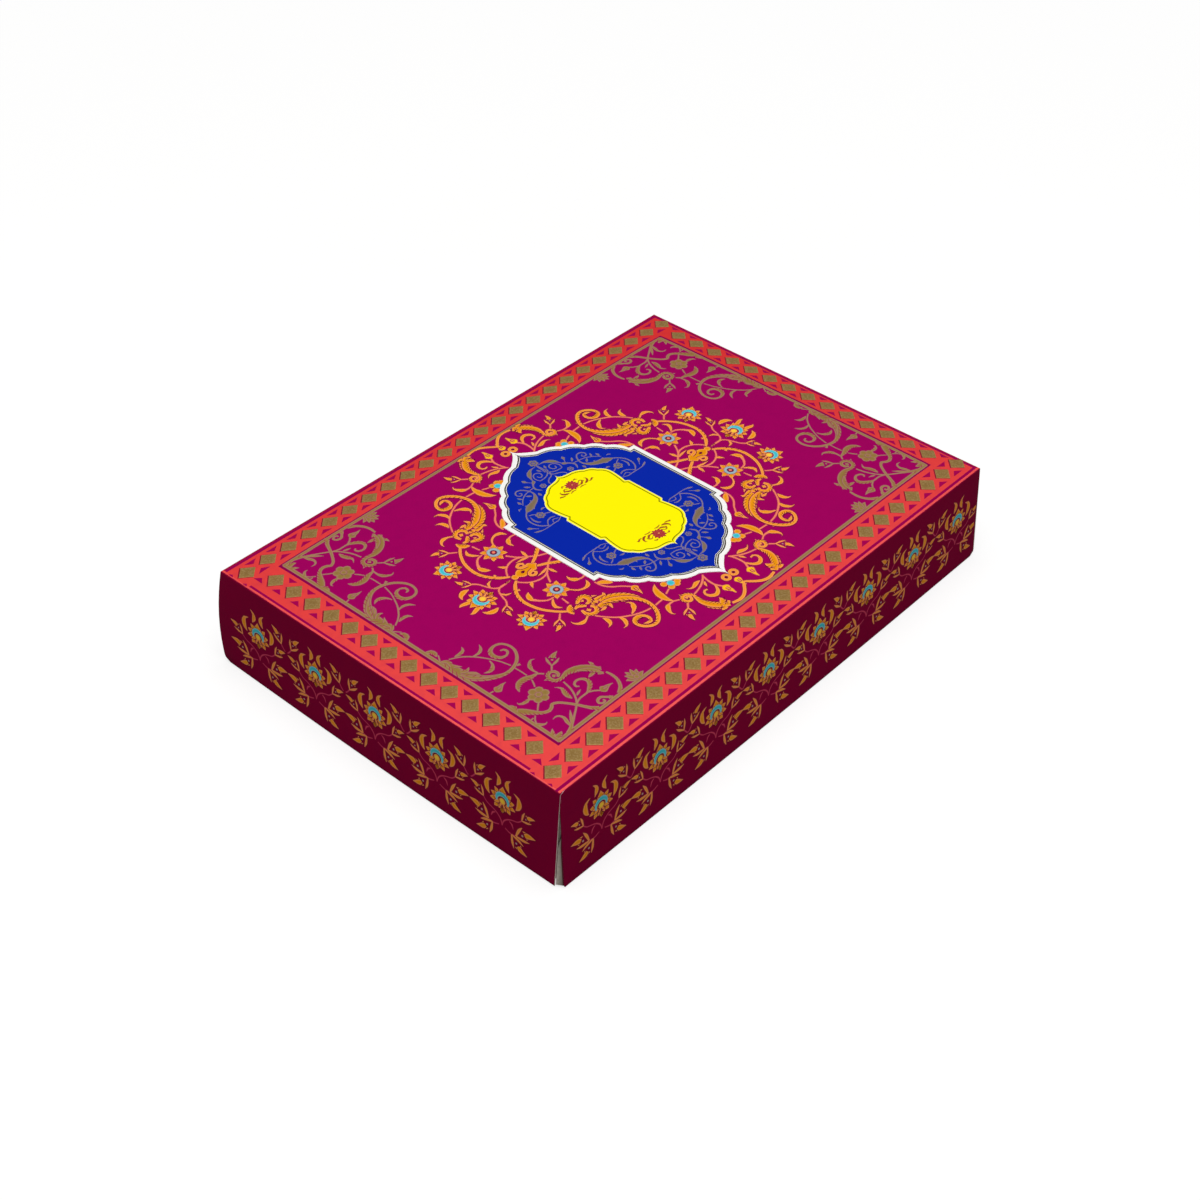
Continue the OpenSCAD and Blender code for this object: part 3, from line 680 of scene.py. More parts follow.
# Half of one repeat of the wall's border: ink, then the line; y runs down the wall
WALL_SPRAY = [
    ("orange", (-3.7, -11.4, .1), (-2.1, -9.9, .65), (-1.9, -7.8, 1.05), (-3, -5.5, .1)),
    ("orange", (-5.2, -6.8, .1), (-7.3, -5.7, .7), (-8, -3.3, 1.2), (-7.4, -1, .9), (-6.3, .5, .1)),
    ("stem", (-9.3, 3.6, .25), (-7.4, 5.4, .25), (-4.7, 6.3, .25), (-2.5, 7.4, .3), (-.7, 9.3, .3),
     (0, 11.8, .2)),
    ("stem", (-3.4, 7.6, .2), (-4.7, 8.4, .42), (-5.4, 10.4, .1)),
    ("stem", (-6.7, 12.5, .25), (-4.3, 13.1, .32), (-1.4, 12.1, .22)),
]
# The cracked print at the open corner, from the front wall's left end
CRACK = [
    (.06, 4.5, .05), (.1, 1.6, .1), (.35, .75, .14), (1.1, .6, .14), (1.5, .22, .14), (2.3, .12, .05),
]
# One quarter of the foil scrollwork on the blue, left of its middle and above it
FILIGREE = [
    ((-.2, 44.8, .3), (.2, 41.6, .3), (.4, 39.2, .3)),
    ((-.6, 43.2, .2), (-2, 43.1, .25), (-4, 42.8, .6), (-6.1, 41.4, 1.1), (-7.4, 39.8, .85),
     (-8, 38.2, .35), (-8.4, 37.2, .3)),
    ((-8.3, 37, .4), (-8.9, 36.2, .85), (-10.2, 35.2, .45), (-11.3, 33.9, .4), (-11.8, 32.3, .45),
     (-11.1, 30.8, .35), (-10.4, 29.8, .15)),
    ((-6.4, 34.8, .2), (-7, 37, .3), (-6, 39.2, .3), (-4.2, 39.8, .3), (-2.8, 38.6, .3), (-3.2, 36.8, .3),
     (-4.8, 36.4, .3), (-5.2, 37.8, .25)),
    ((-6.4, 34.8, .25), (-4.2, 34.8, .3), (-1.6, 35.6, .3), (.2, 37.2, .3)),
    ((-2.2, 41.2, .15), (-1.8, 40, .55), (-1.5, 39, .15)),
    ((.6, 36.4, .3), (-.6, 34.2, .3), (-2.7, 33.3, .3), (-4.3, 32.2, .3), (-4.9, 31, .3), (-4.6, 30.3, .2)),
    ((-11.8, 40.2, .1), (-11.5, 39.2, .85), (-11.1, 38.2, .4), (-10.4, 37.2, .2), (-9.6, 35.8, .2)),
    ((-14.1, 36.8, .1), (-13.3, 35.8, .6), (-12.2, 34.6, .2)),
    ((-14.6, 29.8, .5), (-14.3, 32, .38), (-15.2, 34.6, .38), (-16.8, 36.4, .35), (-18.6, 36.7, .38),
     (-20, 35.4, .35), (-19.8, 33.8, .3), (-18.5, 33.4, .3), (-17.8, 34.4, .3), (-18.5, 35.1, .2)),
    ((-23, 28.4, .2), (-20.3, 31.1, .28), (-17, 32.8, .3), (-14.5, 33.2, .25), (-11.6, 33.6, .25)),
    ((-21.4, 33.4, .1), (-20.9, 32.3, .55), (-20.4, 31.2, .15)),
    ((-22.9, 31.6, .1), (-23.1, 30.3, .65), (-22.7, 29.2, .15)),
    ((-18, 31.8, .1), (-17, 30.9, .6), (-16, 30.1, .1)),
    ((-12.9, 29.8, .1), (-13.1, 28.6, .7), (-13, 27.5, .15)),
    ((-14.6, 30.2, .45), (-15.8, 28.4, .95), (-17.7, 27, 1.2), (-19.9, 26.2, 1.5), (-22.1, 25.4, 1.75),
     (-24, 24.6, 1.2), (-25.4, 24.2, .35)),
    ((-22, 26.4, .9), (-22.8, 27.6, .15)),
    ((-21, 24.9, 1), (-21.6, 23.4, .15)),
    ((-18.6, 27.4, .8), (-18.8, 28.8, .1)),
    ((-26.9, 26.4, .1), (-26.2, 27.4, .4), (-25, 27.3, .15)),
    ((-25.2, 24.2, .35), (-27.1, 22.6, .35), (-28.5, 20.4, .35), (-28.9, 18, .35), (-28.5, 15.4, .35),
     (-27.1, 13.2, .35), (-25.2, 11.8, .3)),
    ((-26.6, 20.8, .15), (-27.2, 18.6, .4), (-26.8, 16.6, .45), (-25.8, 15.6, .15)),
    ((-26.4, 22, .25), (-24.6, 21.2, .3), (-23.6, 20.4, .2)),
    ((-20.4, 21, .1), (-19.2, 21.5, .5), (-17.9, 21.2, .15)),
    ((-21, 18.6, .3), (-18.8, 17.6, .3), (-17.8, 18.4, .3)),
    ((-32.6, 12.9, .15), (-31.4, 12.2, .5), (-29.4, 11.5, .3), (-27.5, 11.3, .25), (-22.7, 11.4, .3),
     (-20.2, 11.4, .25), (-18, 12.6, .2)),
    ((-33, 16.4, .1), (-32.2, 16, .8), (-31.2, 15, .3), (-29.6, 13.2, .2)),
    ((-25.4, 12.2, .25), (-23.4, 14.4, .3), (-20.9, 14.9, .35), (-19.4, 14.2, .2)),
    ((-22.6, 11.8, .2), (-21.6, 13.4, .25), (-19.2, 12.6, .2)),
]
# The leaves on one side of the small red flower on the yellow label
NAME_SPRIG = [
    ((2.2, 21.4, .2), (3.4, 21.2, .5), (4.6, 22, .5), (5.2, 23, .1)),
    ((2.6, 25, .1), (3.6, 25.4, .45), (4.4, 24.6, .2)),
    ((3, 22.6, .2), (4, 23.4, .3), (5, 23, .35), (5.6, 21.8, .3)),
    ((4.6, 20.4, .2), (5.8, 20.6, .55), (7, 21.4, .55), (7.4, 22.6, .35), (6.8, 23.4, .1)),
    ((6.8, 20.2, .2), (8.2, 20.3, .4), (9.2, 20.9, .45), (9.7, 20.3, .1)),
    ((1.2, 19.8, .2), (2.6, 20.1, .35), (4.4, 19.6, .2)),
]


def turned(place, middle, sx, sy):
    """Places a quarter's drawing in one of the four quarters."""
    return lambda x, y, up: place(middle[0] - sx * x, middle[1] - sy * y, up)


def scroll_quarter(sheet):
    """A quarter of the orange scrollwork round the cartouche."""
    for line in VINES:
        stroke(sheet, "vine", line)
    for line in LEAVES:
        stroke(sheet, "orange", line)
    for layer, *line in ACANTHUS:
        leaf(sheet, "orange", "shadow", line, layer)
    star(sheet, -52, -16.6)
    lotus(sheet, -71.3, -21.7, 205, 0.95)
    bud(sheet, -71.4, -9.1, 231, 0.8, -1)
    bud(sheet, -63.8, -29.1, 223, 0.87)
    bud(sheet, -26.4, -59.9, 229, 0.88, -1)
    heart(sheet, "orange", -31, -36.2, -97)
    heart(sheet, "yellow", -7.5, -61.4, -84)
    for x, y in ((-22.2, -44.3), (-21.2, -47.4), (-18.4, -47.6), (-17, -46.6)):
        disc(sheet, "orange", x, y, 1.5, 0, 10)
    disc(sheet, "turquoise", -19.8, -45.7, 1.55, 2)


def corner_quarter(sheet):
    """A quarter of the gold foil: corner scrolls, flower, shell and the frame's two lines."""
    for layer, *line in CORNER:
        leaf(sheet, "gold", "magenta", line, layer)
    bud(sheet, -84.6, -44, 40, 0.95, 1, "gold")
    for k in range(6):
        disc(sheet, "gold", *polar(-98.9, -51, 100 + 60 * k, 2.5), 1.75, 0, 9)
    disc(sheet, "gold", -98.9, -51, 1.35, 2, 10)
    heart(sheet, "gold", -107.8, -38.5, 8)
    heart(sheet, "gold", -82.3, -65.8, -3)
    for k, (x, y) in enumerate(SHELL_TIPS):
        foot, middle = -68.2 + 0.5 * (k - 2), ((x - 68.2) / 2, (y - 70.4) / 2, 1.1)
        stroke(sheet, "gold", [(foot, -71.6, .5), middle, (x, y, .15)], k % 2)
    disc(sheet, "gold", -68, -70.2, 1.2, 2, 10)
    stroke(sheet, "gold", [(-110.6, -72.1, .8), (-110.6, -36, .8), (-110.6, 0, .8)], 0, 6)
    stroke(sheet, "gold", [(-111, -71.8, .8), (-55, -71.8, .8), (0, -71.8, .8)], 0, 6)


scrolls = Print(on_top, ["vine", "orange", "yellow", "turquoise", "grey", "eye", "pollen", "shadow"])
foil = Print(on_top, ["gold", "magenta"])
for sx in (-1, 1):
    for sy in (-1, 1):
        scrolls.place = turned(on_top, SCROLL_MID, sx, sy)
        scroll_quarter(scrolls)
        foil.place = turned(on_top, FRAME_MID, sx, sy)
        corner_quarter(foil)
# The pieces on the long middle line: a lotus and a knot at each end
for sx in (-1, 1):
    scrolls.place = turned(on_top, SCROLL_MID, sx, 1)
    lotus(scrolls, 75, 0, 0)
    disc(scrolls, "orange", 57.3, 0, 1.5, 1)
    stroke(scrolls, "orange", KNOT, 1)
    stroke(scrolls, "shadow", [(53.9, 0, .2), (53, 0, .7), (52.1, 0, .2)], 4)
    for way in (-1, 1):
        stroke(scrolls, "orange", [(x, y * way, w) for x, y, w in KNOT_CURL], 2, 0.7)
# and a finial over each tip of the cartouche
for sy in (-1, 1):
    scrolls.place = turned(on_top, (SCROLL_MID[0] + 0.6 * sy, SCROLL_MID[1]), 1, sy)
    for way in (-1, 1):
        ring(scrolls, "orange", way * 2.15, -59, 1.45, 0.72, 1)
        disc(scrolls, "shadow", way * 2.15, -59, 0.8, 0, 8)
    heart(scrolls, "yellow", 0, -61.7, -90, 0.9)
scrolls.piece("lid_top_scroll_print", "lid")
foil.piece("lid_top_corner_foil", "lid")


# The lattice of diamonds round the edge: their pitch along the long and along the short sides
PITCH_LONG, PITCH_SHORT = 10.6, 10.4


def diamond(sheet, x, y, half_x, half_y):
    """A gold lattice diamond, set a little off its dark window, which shows along one side as a painted
    shadow; its pale bevel is a painted highlight.
    """
    tips = ((half_x, 0), (0, half_y), (-half_x, 0), (0, -half_y))
    for ink, layer, size, dx, dy in (("window", 0, 1.07, -0.1, 0.1), ("diamond", 1, 1.0, 0.08, -0.08)):
        tablet(sheet, ink, [(x + dx + u * size, y + dy + v * size) for u, v in tips], layer, 0.45, 0.06)


def triangle(sheet, x, y, dx, dy, half, point=2.15):
    """A small magenta window between two diamonds, pointing along (dx, dy)."""
    base = [(x - dy * half, y + dx * half), (x + dy * half, y - dx * half)]
    tablet(sheet, "magenta", [*base, (x + dx * point, y + dy * point)], 0, 0.3, 0.02)


lattice = Print(on_top, ["diamond", "window", "magenta"])
for sy in (-1, 1):
    for k in range(24):
        x, y = 0.7 + (k - 11.5) * PITCH_LONG, 0.17 + sy * 79.9
        diamond(lattice, x, y, 4.25, 3.95)
        if k < 23:
            for way in (-1, 1):
                triangle(lattice, x + PITCH_LONG / 2, y - way * 4.35, 0, way, 2.9)
for sx in (-1, 1):
    x = 1.25 + sx * 118.5
    for k in range(14):
        diamond(lattice, x, 0.2 + (k - 6.5) * PITCH_SHORT, 4.15, 4.1)
    # One gap more than the diamonds at either end, beside the corner diamonds
    for k in range(15):
        for way in (-1, 1):
            if 0 < k < 14 or way == -sx:
                triangle(lattice, x - way * 4.4, 0.2 + (k - 7) * PITCH_SHORT, way, 0, 2.4)
# Where the left line stops short of its corners, the lattice nicks the crease
for sy in (-1, 1):
    for off in (5.2, 13.4):
        triangle(lattice, -126.5, sy * (LID_W / 2 - off), 1, 0, 1.3, 1.1)
lattice.piece("lid_top_lattice_foil", "lid")


def wall_half(sheet, beside_another):
    """Half of one repeat of the wall's border, left of its flower; y runs down the wall."""
    for ink, *line in WALL_SPRAY:
        stroke(sheet, ink, line)
    bud(sheet, -9.3, 3.5, 225, 0.9)
    bud(sheet, -6.7, 12.6, 215, 1.22)
    bud(sheet, -4.7, 13.1, 131, 1.15, -1)
    if beside_another:
        stroke(sheet, "stem", [(-15.7, -1.6, .25), (-14.8, -2.3, .28), (-13.4, -4.2, .28)])
        bud(sheet, -13.4, -4.2, 295, 0.98, -1)


# Each wall's border: how many repeats, their pitch, the first one's flower from the left end, and its drop
WALL_REPEATS = {
    "front": (8, 31.42, 19.8, 19.4),
    "back": (8, 31.42, 17.1, 19.4),
    "left": (5, 32.55, 20.3, 20.8),
    "right": (5, 32.55, 23.4, 20.2),
}
for side, (count, pitch, first, drop) in WALL_REPEATS.items():
    place, half = on_wall(side), WALLS[side][3] / 2
    # The border runs on past the fold at one end, and is cut there
    trim = half - 0.4
    border = Print(place, ["orange", "stem", "turquoise", "eye", "pollen", "crack"])
    for k in range(count):
        at = first + k * pitch - half
        for way in (1, -1):
            border.place = lambda x, y, up: place(max(-trim, min(trim, at + way * x)), drop + y, up)
            wall_half(border, k > 0 if way > 0 else k < count - 1)
        lotus(border, 0, 0, -90)
    if side == "front":
        # The print has cracked white where this crease meets the open corner
        border.place = lambda x, y, up: place(x - half, y, up)
        stroke(border, "crack", CRACK, 0, 0.4)
    border.piece(f"lid_{side}_wall_print", f"lid_{side}")


# The blue cartouche and its yellow name label: thin cards, their prints one above the other


def contour(corners, depth=0.0):
    """A card's outline, moved in by a depth. A corner is (x, y, bulge of the edge that follows it)."""
    edges = []
    for (ax, ay, bulge), (bx, by, _) in zip(corners, corners[1:]):
        length = math.dist((ax, ay), (bx, by))
        nx, ny = (by - ay) / length, (ax - bx) / length
        edges.append((nx, ny, nx * ax + ny * ay + depth, bulge))
    first, last = edges[0], edges[-1]
    points = [(0.0, first[2] / first[1])]
    for (px, py, pd, _), (qx, qy, qd, _) in zip(edges, edges[1:]):
        cross = px * qy - py * qx
        points.append(((pd * qy - qd * py) / cross, (px * qd - qx * pd) / cross))
    points.append((last[2] / last[0], 0.0))
    quarter = []
    for (ax, ay), (bx, by), (nx, ny, _, bulge) in zip(points, points[1:], edges):
        for t in (i / 8 for i in range(8)):
            # The first edge is the ogee that draws out to the tip
            out = -1.15 * math.sin(math.pi * t ** 0.6) ** 0.9 if bulge is None else bulge * 4 * t * (1 - t)
            quarter.append((ax + (bx - ax) * t - nx * out, ay + (by - ay) * t - ny * out))
    quarter.append(points[-1])
    side = quarter + [(x, -y) for x, y in quarter[-2::-1]]
    return side + [(-x, y) for x, y in side[-2:0:-1]]


def card(sheet, ink, rings, core):
    """A closed card from its rings (loop, height, distance in) to a middle line."""
    rows = [[sheet.point(x, y, up, inset) for x, y in loop] for loop, up, inset in rings]
    loop, up, inset = rings[-1]
    # The flat top goes in by two more rings, and then to the middle line itself
    for part in (0.45, 0.75, 1):
        ring_in = [(x * (1 - part), y + (max(-core, min(core, y)) - y) * part) for x, y in loop]
        rows.append([sheet.point(x, y, up, inset + 9) for x, y in ring_in])
    for outer, inner in zip(rows, rows[1:]):
        sheet.belt(ink, outer, inner)
    sheet.face(ink, *rows[0])


def band(sheet, ink, outline, depths, floor, height, width):
    """A closed moulding that runs round inside an outline, highest along its middle."""
    rows = []
    for depth, rise, inset in zip(depths, (0, height, 0), (0, width, 0)):
        rows.append([sheet.point(x, y, floor + rise, inset) for x, y in contour(outline, depth)])
    for k in range(3):
        sheet.belt(ink, rows[k - 1], rows[k])


SLANT = math.radians(-0.55)
# Heights over the lid's top: the white card, the blue on it, the yellow label's underside and its top
CARD_UP, BLUE_UP, NAME_UP, NAME_TOP = 0.24, 0.31, 0.34, 0.49


def on_card(x, y, up):
    """The cartouche was laid down a touch askew."""
    across = CARTOUCHE_MID[0] + x * math.cos(SLANT) - y * math.sin(SLANT)
    return on_top(across, CARTOUCHE_MID[1] + x * math.sin(SLANT) + y * math.cos(SLANT), up)


# Outlines from the tip to the middle of the side
CARTOUCHE = [
    (0, 58.7, None), (7.6, 50.3, 1.15), (16.8, 45.6, 1.15), (24.3, 39.2, 1.15), (30.6, 32.5, 1.15),
    (35.4, 24.3, 0), (38.4, 24.2, 0), (38.4, 0, 0),
]
NAME = [
    (0, 32.8, None), (5.5, 29.9, .6), (11, 27.3, .7), (15.6, 23.6, .8), (18.3, 17.8, .2),
    (17.2, 10, 0), (18.5, 8.9, 0), (18.5, 0, 0),
]
cartouche = Print(on_card, ["card"])
edge_rings = ((0, FILM, 0), (0.12, CARD_UP, 0.3), (3, CARD_UP, 2))
card(cartouche, "card", [(contour(CARTOUCHE, depth), up, inset) for depth, up, inset in edge_rings], 22)
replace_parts(cartouche.piece("cartouche_card", "lid"), "cartouche_label")

blue = Print(on_card, ["blue", "mauve", "frame"])
band(blue, "frame", CARTOUCHE, (2, 2.3, 2.6), CARD_UP + 0.01, 0.06, 0.4)
band(blue, "frame", CARTOUCHE, (2.85, 3.05, 3.3), CARD_UP + 0.01, 0.06, 0.3)
# The blue is printed a little out of register, and leaves a white line along the front
edge_rings = ((3.2, CARD_UP + 0.01, 0), (3.3, BLUE_UP, 0.3))
rings = [([(x - 0.1, y + 0.25) for x, y in contour(CARTOUCHE, d)], up, inset) for d, up, inset in edge_rings]
card(blue, "blue", rings, 22)


def rosette(sheet, x, y, r):
    """A small foil flower with six round petals and a ringed eye."""
    for k in range(6):
        disc(sheet, "mauve", *polar(x, y, 60 * k + 20, r * 0.62), r * 0.42, 1, 7)
    disc(sheet, "mauve", x, y, r * 0.4, 2, 7)
    ring(sheet, "blue", x, y, r * 0.42, 0.1, 3)


for sy in (-1, 1):
    for sx in (-1, 1):
        blue.place = lambda x, y, up: on_card(sx * x, sy * y, up + BLUE_UP - FILM)
        for line in FILIGREE:
            stroke(blue, "mauve", line, 0, 0.9)
        rosette(blue, -8, 31.6, 1.5)
        rosette(blue, -22.9, 18.9, 2.1)
    # The last sx is 1, so these two on the middle line aren't mirrored
    rosette(blue, 0.3, 45.3, 2.2)
    rosette(blue, 0.1, 38.1, 1.2)
blue.piece("cartouche_print", "lid")

name_label = Print(on_card, ["lemon"])
edge_rings = ((0, NAME_UP), (0.1, NAME_TOP), (0.6, NAME_TOP), (1.6, NAME_TOP))
card(name_label, "lemon", [(contour(NAME, depth), up, depth) for depth, up in edge_rings], 9)
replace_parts(name_label.piece("name_card", "lid"), "name_label")

flowers = Print(on_card, ["olive", "ruby", "bronze", "eye"])
band(flowers, "olive", NAME, (1.05, 1.27, 1.5), NAME_TOP + 0.01, 0.02, 0.2)
for sy in (-1, 1):
    flowers.place = lambda x, y, up: on_card(x, sy * y, up + NAME_TOP)
    for k in range(12):
        petal(flowers, "ruby", 0, 23.2, 15 + 30 * k, 0.3, 3.2 if k % 3 else 2.8, 0.82, k % 2)
    disc(flowers, "ruby", 0, 23.2, 1.2, 2, 8)
    disc(flowers, "eye", 0, 23.2, 0.35, 4, 6)
    for way in (-1, 1):
        for line in NAME_SPRIG:
            stroke(flowers, "bronze", [(way * x, y, w) for x, y, w in line], 0, 0.6)
flowers.piece("name_print", "lid")


# Board pieces


def cut_sheet(name, length, width, cuts_x, cuts_y):
    """A flat sheet cut from a plane and divided by score lines, in millimetres."""
    bpy.ops.object.select_all(action="DESELECT")
    bpy.ops.mesh.primitive_plane_add(size=1, location=(0, 0, 0))
    made = bpy.context.object
    made.name = name
    made.data.name = name
    bpy.ops.object.mode_set(mode="EDIT")
    bpy.ops.mesh.select_all(action="SELECT")
    bpy.ops.transform.resize(value=(length, width, 1))
    for way, cuts in ((Vector((1, 0, 0)), cuts_x), (Vector((0, 1, 0)), cuts_y)):
        for at in cuts:
            bpy.ops.mesh.select_all(action="SELECT")
            bpy.ops.mesh.bisect(plane_co=way * at, plane_no=way)
    bpy.ops.object.mode_set(mode="OBJECT")
    return made


def finish_board(made, body, node, outside, crease=1000.0):
    """Gives the shaped sheet its thickness and softened cut edges, and stands it in for its CAD node."""
    for material in (outside, GREY_BOARD, CUT_BOARD):
        made.data.materials.append(material)
    thick = made.modifiers.new("board", "SOLIDIFY")
    thick.thickness = BOARD * MM
    thick.offset = -1
    thick.use_rim = True
    thick.material_offset = 1
    thick.material_offset_rim = 2
    edge = made.modifiers.new("cut edge", "BEVEL")
    edge.width = 0.06 * MM
    edge.segments = 2
    edge.limit_method = "ANGLE"
    edge.angle_limit = math.radians(60)
    for modifier in list(made.modifiers):
        bpy.ops.object.modifier_apply(modifier=modifier.name)
    # A crease is scored, not cut, so its board isn't seen
    for face in made.data.polygons:
        if face.material_index == 2 and face.center.z > crease * MM:
            face.material_index = 0
    made.data.shade_smooth()
    bpy.ops.object.shade_smooth_by_angle(angle=math.radians(35))
    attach(made, body)
    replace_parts(made, node)


def lines(low, high, step):
    """Score lines evenly spaced between two edges, about a step apart."""
    count = round((high - low) / step)
    return [low + (high - low) * i / count for i in range(1, count)]


WHITE_BOARD = board("clay-coated white boxboard", "#EDEBE4", "#DEDBD2")
GREY_BOARD = board("unprinted grey-back boxboard", "#C9C3B6", "#AFA899", 0.85)
CUT_BOARD = board("cut edge of boxboard", "#E8DCD2", "#D4B8B2", 0.8)
LINER = board("greaseproof paper", "#F3EBD3", "#E6DCC0", 0.55, 0.8)

edges_x, edges_y = (
    [s * (size / 2 - e) for s in (-1, 1) for e in (0.35, 0.7, RIM)] for size in (LID_L, LID_W)
)
edges_x += lines(RIM - LID_L / 2, LID_L / 2 - RIM, 5)
edges_y += lines(RIM - LID_W / 2, LID_W / 2 - RIM, 5)
top = cut_sheet("lid_top_board", LID_L, LID_W, edges_x, edges_y)
for corner in top.data.vertices:
    corner.co = on_top(corner.co.x, corner.co.y)
finish_board(top, "lid", "lid_top_panel", TOP_PRINT, 0)

wall_rows = [LID_H / 2 - e for e in (0.35, 0.7, 1.5, 5, 10, 16, 22, 28, 34, 39, 42, 43.5)]
for side, (_, _, _, length) in WALLS.items():
    wall = cut_sheet(f"lid_{side}_board", length, LID_H, lines(-length / 2, length / 2, 6), wall_rows)
    place = on_wall(side)
    for corner in wall.data.vertices:
        s, drop = corner.co.x, LID_H / 2 - corner.co.y
        way, near = (1 if s > 0 else -1), abs(s) / (length / 2)
        # Closed corners lean out to meet; the near corner has come apart and its ends stay square
        spread = drop * math.sin(SPLAY) + corner_bulge(side, s, drop)
        if (side, way) == ("front", -1):
            spread = 0.0
        elif (side, way) == ("left", 1):
            spread = -OPEN_GAP * drop / LID_H
        elif near > 0.99:
            low = max(0.0, drop - (LID_H - FOOT_ROUND))
            s -= way * (FOOT_ROUND - math.sqrt(max(0.0, FOOT_ROUND ** 2 - low * low)))
        s += way * spread * near ** 8
        corner.co = place(s, drop)
    # A long wall folds on into its tabs at both ends, so only its lower edge is cut
    folded = 1.2 if side in ("front", "back") else TOP - 1
    finish_board(wall, f"lid_{side}", f"lid_{side}_wall", WALL_PRINT, folded)

# The lid's corner tabs: unprinted board that turns from the long walls' ends behind the short walls
TAB_BOARD = board("boxboard with the print's edge round its fold", "#DDD3C8", "#BDB2A6", 0.8)
tree = TAB_BOARD.node_tree
shader = tree.nodes["Principled BSDF"]
axes = add(tree, "SeparateXYZ", {0: add(tree, "TexCoord")["Object"]})
# How far out a point is, as if the long walls stood upright, and the same for their outer face
fold = add(tree, "Math", {0: axes[1]}, operation="ABSOLUTE")[0]
fold = add(tree, "Math", {0: axes[2], 2: fold}, {1: math.tan(SPLAY)}, operation="MULTIPLY_ADD")[0]
edge = LID_W / 2 + TOP * math.tan(SPLAY)
# Painted shade: the board greys towards its fold, and the print's edge round the fold is drawn very dark,
# also a painted shadow beside the long wall's end
painted_fold_shade = add(tree, "MapRange", {0: fold}, {1: (edge - 2.4) * MM, 2: (edge - 0.9) * MM})[0]
bare = shader.inputs["Base Color"].links[0].from_socket
bare = add(tree, "Mix", {0: painted_fold_shade, 6: bare}, {7: srgb("#8E867C")}, data_type="RGBA")[2]
mottled(tree, shader, bare, fold, (edge - 0.95) * MM, (edge - 0.8) * MM, 1, "#5A0A22")
# A tab's reach on the flat sheet, its height, how far below the crease its middle is, and its fold's width
TAB_REACH, TAB_HEIGHT, TAB_MID, TAB_FOLD = 20, 43.8, 22.8, 2.2
tab_columns = [-9.6, -9.1, -8.5, -7.8, -7, -6, -4, -1, 4]
tab_rows = lines(-TAB_HEIGHT / 2, TAB_HEIGHT / 2, 6)
for name in ("front_left", "front_right", "back_left", "back_right"):
    end, hand = name.split("_")
    sx, sy = (1 if hand == "right" else -1), (1 if end == "back" else -1)
    tab = cut_sheet(f"lid_tab_{name}_board", TAB_REACH, TAB_HEIGHT, tab_columns, tab_rows)
    for corner in tab.data.vertices:
        reach, drop = corner.co.x + TAB_REACH / 2, TAB_MID - corner.co.y
        # The tab narrows towards its free end
        drop -= 0.014 * max(0, reach - 8) * (drop - TAB_MID)
        lean = drop * math.sin(SPLAY)
        back = TAB_BACK
        # A tab stands upright, so that the short wall can close on it. At the open corner its fold bulges
        # into the gap between the walls, and steps back just before the short wall's end
        bulge = min(1, max(0, drop - 19) / 6) if name == "front_left" else 0
        if bulge:
            gap = lean - 0.61 + OPEN_GAP * drop / LID_H
            if reach < TAB_FOLD + 0.1:
                back -= (TAB_BACK + (lean - 0.55) * min(1, reach / TAB_FOLD)) * bulge
            if reach <= TAB_FOLD:
                reach = gap * reach / TAB_FOLD
            else:
                reach = gap + 0.1 + (reach - 3) * (19.9 - gap) / 17
        x, y = LID_L / 2 - back, LID_W / 2 + lean - 0.45 - reach
        corner.co = Vector((sx * x, sy * y, TOP - drop * math.cos(SPLAY))) * MM
    if sx * sy > 0:
        tab.data.flip_normals()
    finish_board(tab, f"lid_{end}", f"lid_tab_{name}", TAB_BOARD)

# Carried-over board pieces keep their shape and take their real finish
for name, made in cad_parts.items():
    kind = WHITE_BOARD if name.startswith(("tray", "divider")) else GREY_BOARD
    made.data.materials.clear()
    made.data.materials.append(LINER if name == "liner_sheet" else kind)

# Studio: white seamless floor, one broad lamp overhead and a weak fill
bpy.ops.object.select_all(action="DESELECT")
bpy.ops.mesh.primitive_plane_add(size=60, location=(0, 0, 0))
floor = bpy.context.object
floor.name = "studio_floor"
paper, tree, shader, place = start("white seamless paper", 0.9, 0.0)
seen = add(tree, "LightPath")["Is Camera Ray"]
# White to the camera; darker to other rays, so that it throws little light up the walls
tone = add(tree, "Mix", {0: seen}, {6: srgb("#8C8C8C"), 7: srgb("#F0F0F0")}, data_type="RGBA")
tree.links.new(tone[2], shader.inputs["Base Color"])
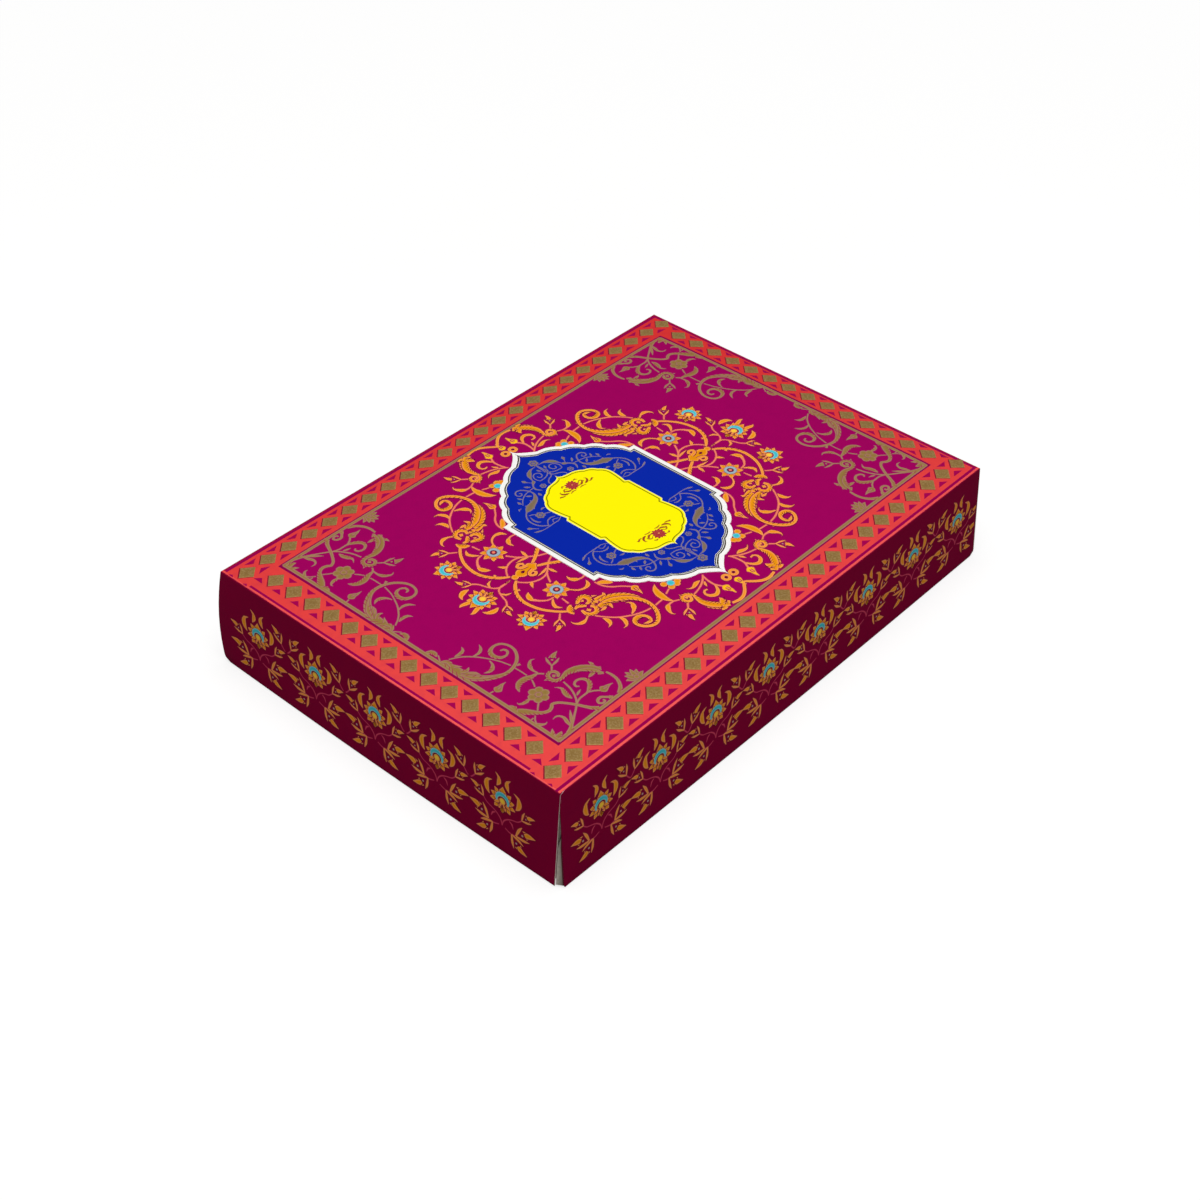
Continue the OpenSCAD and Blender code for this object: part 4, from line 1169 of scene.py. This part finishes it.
# Near the box it takes a soft shadow, and further off it runs into the white of the backdrop
off = add(tree, "VectorMath", {0: place}, operation="LENGTH")["Value"]
shine = add(tree, "MapRange", {0: off}, {1: 0.4, 2: 1.6, 3: 1.12, 4: 1.0})[0]
glow = add(tree, "Emission", {"Strength": shine}, {"Color": (1, 1, 1, 1)})[0]
part = add(tree, "MapRange", {0: off}, {1: 0.3, 2: 1.4, 3: 0.66, 4: 1.0})[0]
part = add(tree, "Math", {0: seen, 1: part}, operation="MULTIPLY")[0]
blend = add(tree, "MixShader", {0: part, 1: shader.outputs[0], 2: glow})[0]
tree.links.new(blend, tree.nodes["Material Output"].inputs["Surface"])
floor.data.materials.append(paper)

world = bpy.data.worlds.new("studio")
bpy.context.scene.world = world
world.use_nodes = True
tree = world.node_tree
ambient = tree.nodes["Background"]
ambient.inputs["Color"].default_value = (1, 0.97, 0.93, 1)
ambient.inputs["Strength"].default_value = 0.22
white = add(tree, "Background", sockets={"Color": (1, 1, 1, 1), "Strength": 1.0})[0]
seen = add(tree, "LightPath")["Is Camera Ray"]
blend = add(tree, "MixShader", {0: seen, 1: ambient.outputs[0], 2: white})[0]
tree.links.new(blend, tree.nodes["World Output"].inputs["Surface"])


def lamp(name, power, size, place, colour):
    data = bpy.data.lights.new(name, "AREA")
    data.energy, data.size, data.color = power, size, colour
    made = bpy.data.objects.new(name, data)
    made.location = place
    made.rotation_euler = (Vector((0, 0, 0.03)) - Vector(place)).to_track_quat("-Z", "Y").to_euler()
    bpy.context.scene.collection.objects.link(made)


lamp("overhead", 19.5, 1.2, (-0.15, -0.15, 1.45), (1, 1, 1))
lamp("left_fill", 2.0, 0.8, (-1.2, -1.2, 0.7), (1, 0.96, 0.92))

# Camera at the photograph's angle
azimuth, elevation, tilt = (math.radians(a) for a in (-48.455, 39.672, 0.620))
back = Vector((math.sin(azimuth), -math.cos(azimuth), math.tan(elevation)))
turn = back.to_track_quat("Z", "Y") @ Quaternion((0, 0, 1), tilt)
data = bpy.data.cameras.new("photo_view")
data.sensor_fit, data.sensor_width, data.lens = "HORIZONTAL", 36.0, 59.01
camera = bpy.data.objects.new("photo_view", data)
camera.matrix_world = Matrix.LocRotScale(Vector((-0.46875, -0.40836, 0.51844)), turn, None)
bpy.context.scene.collection.objects.link(camera)
bpy.context.scene.camera = camera
bpy.context.scene.view_settings.view_transform = "Standard"
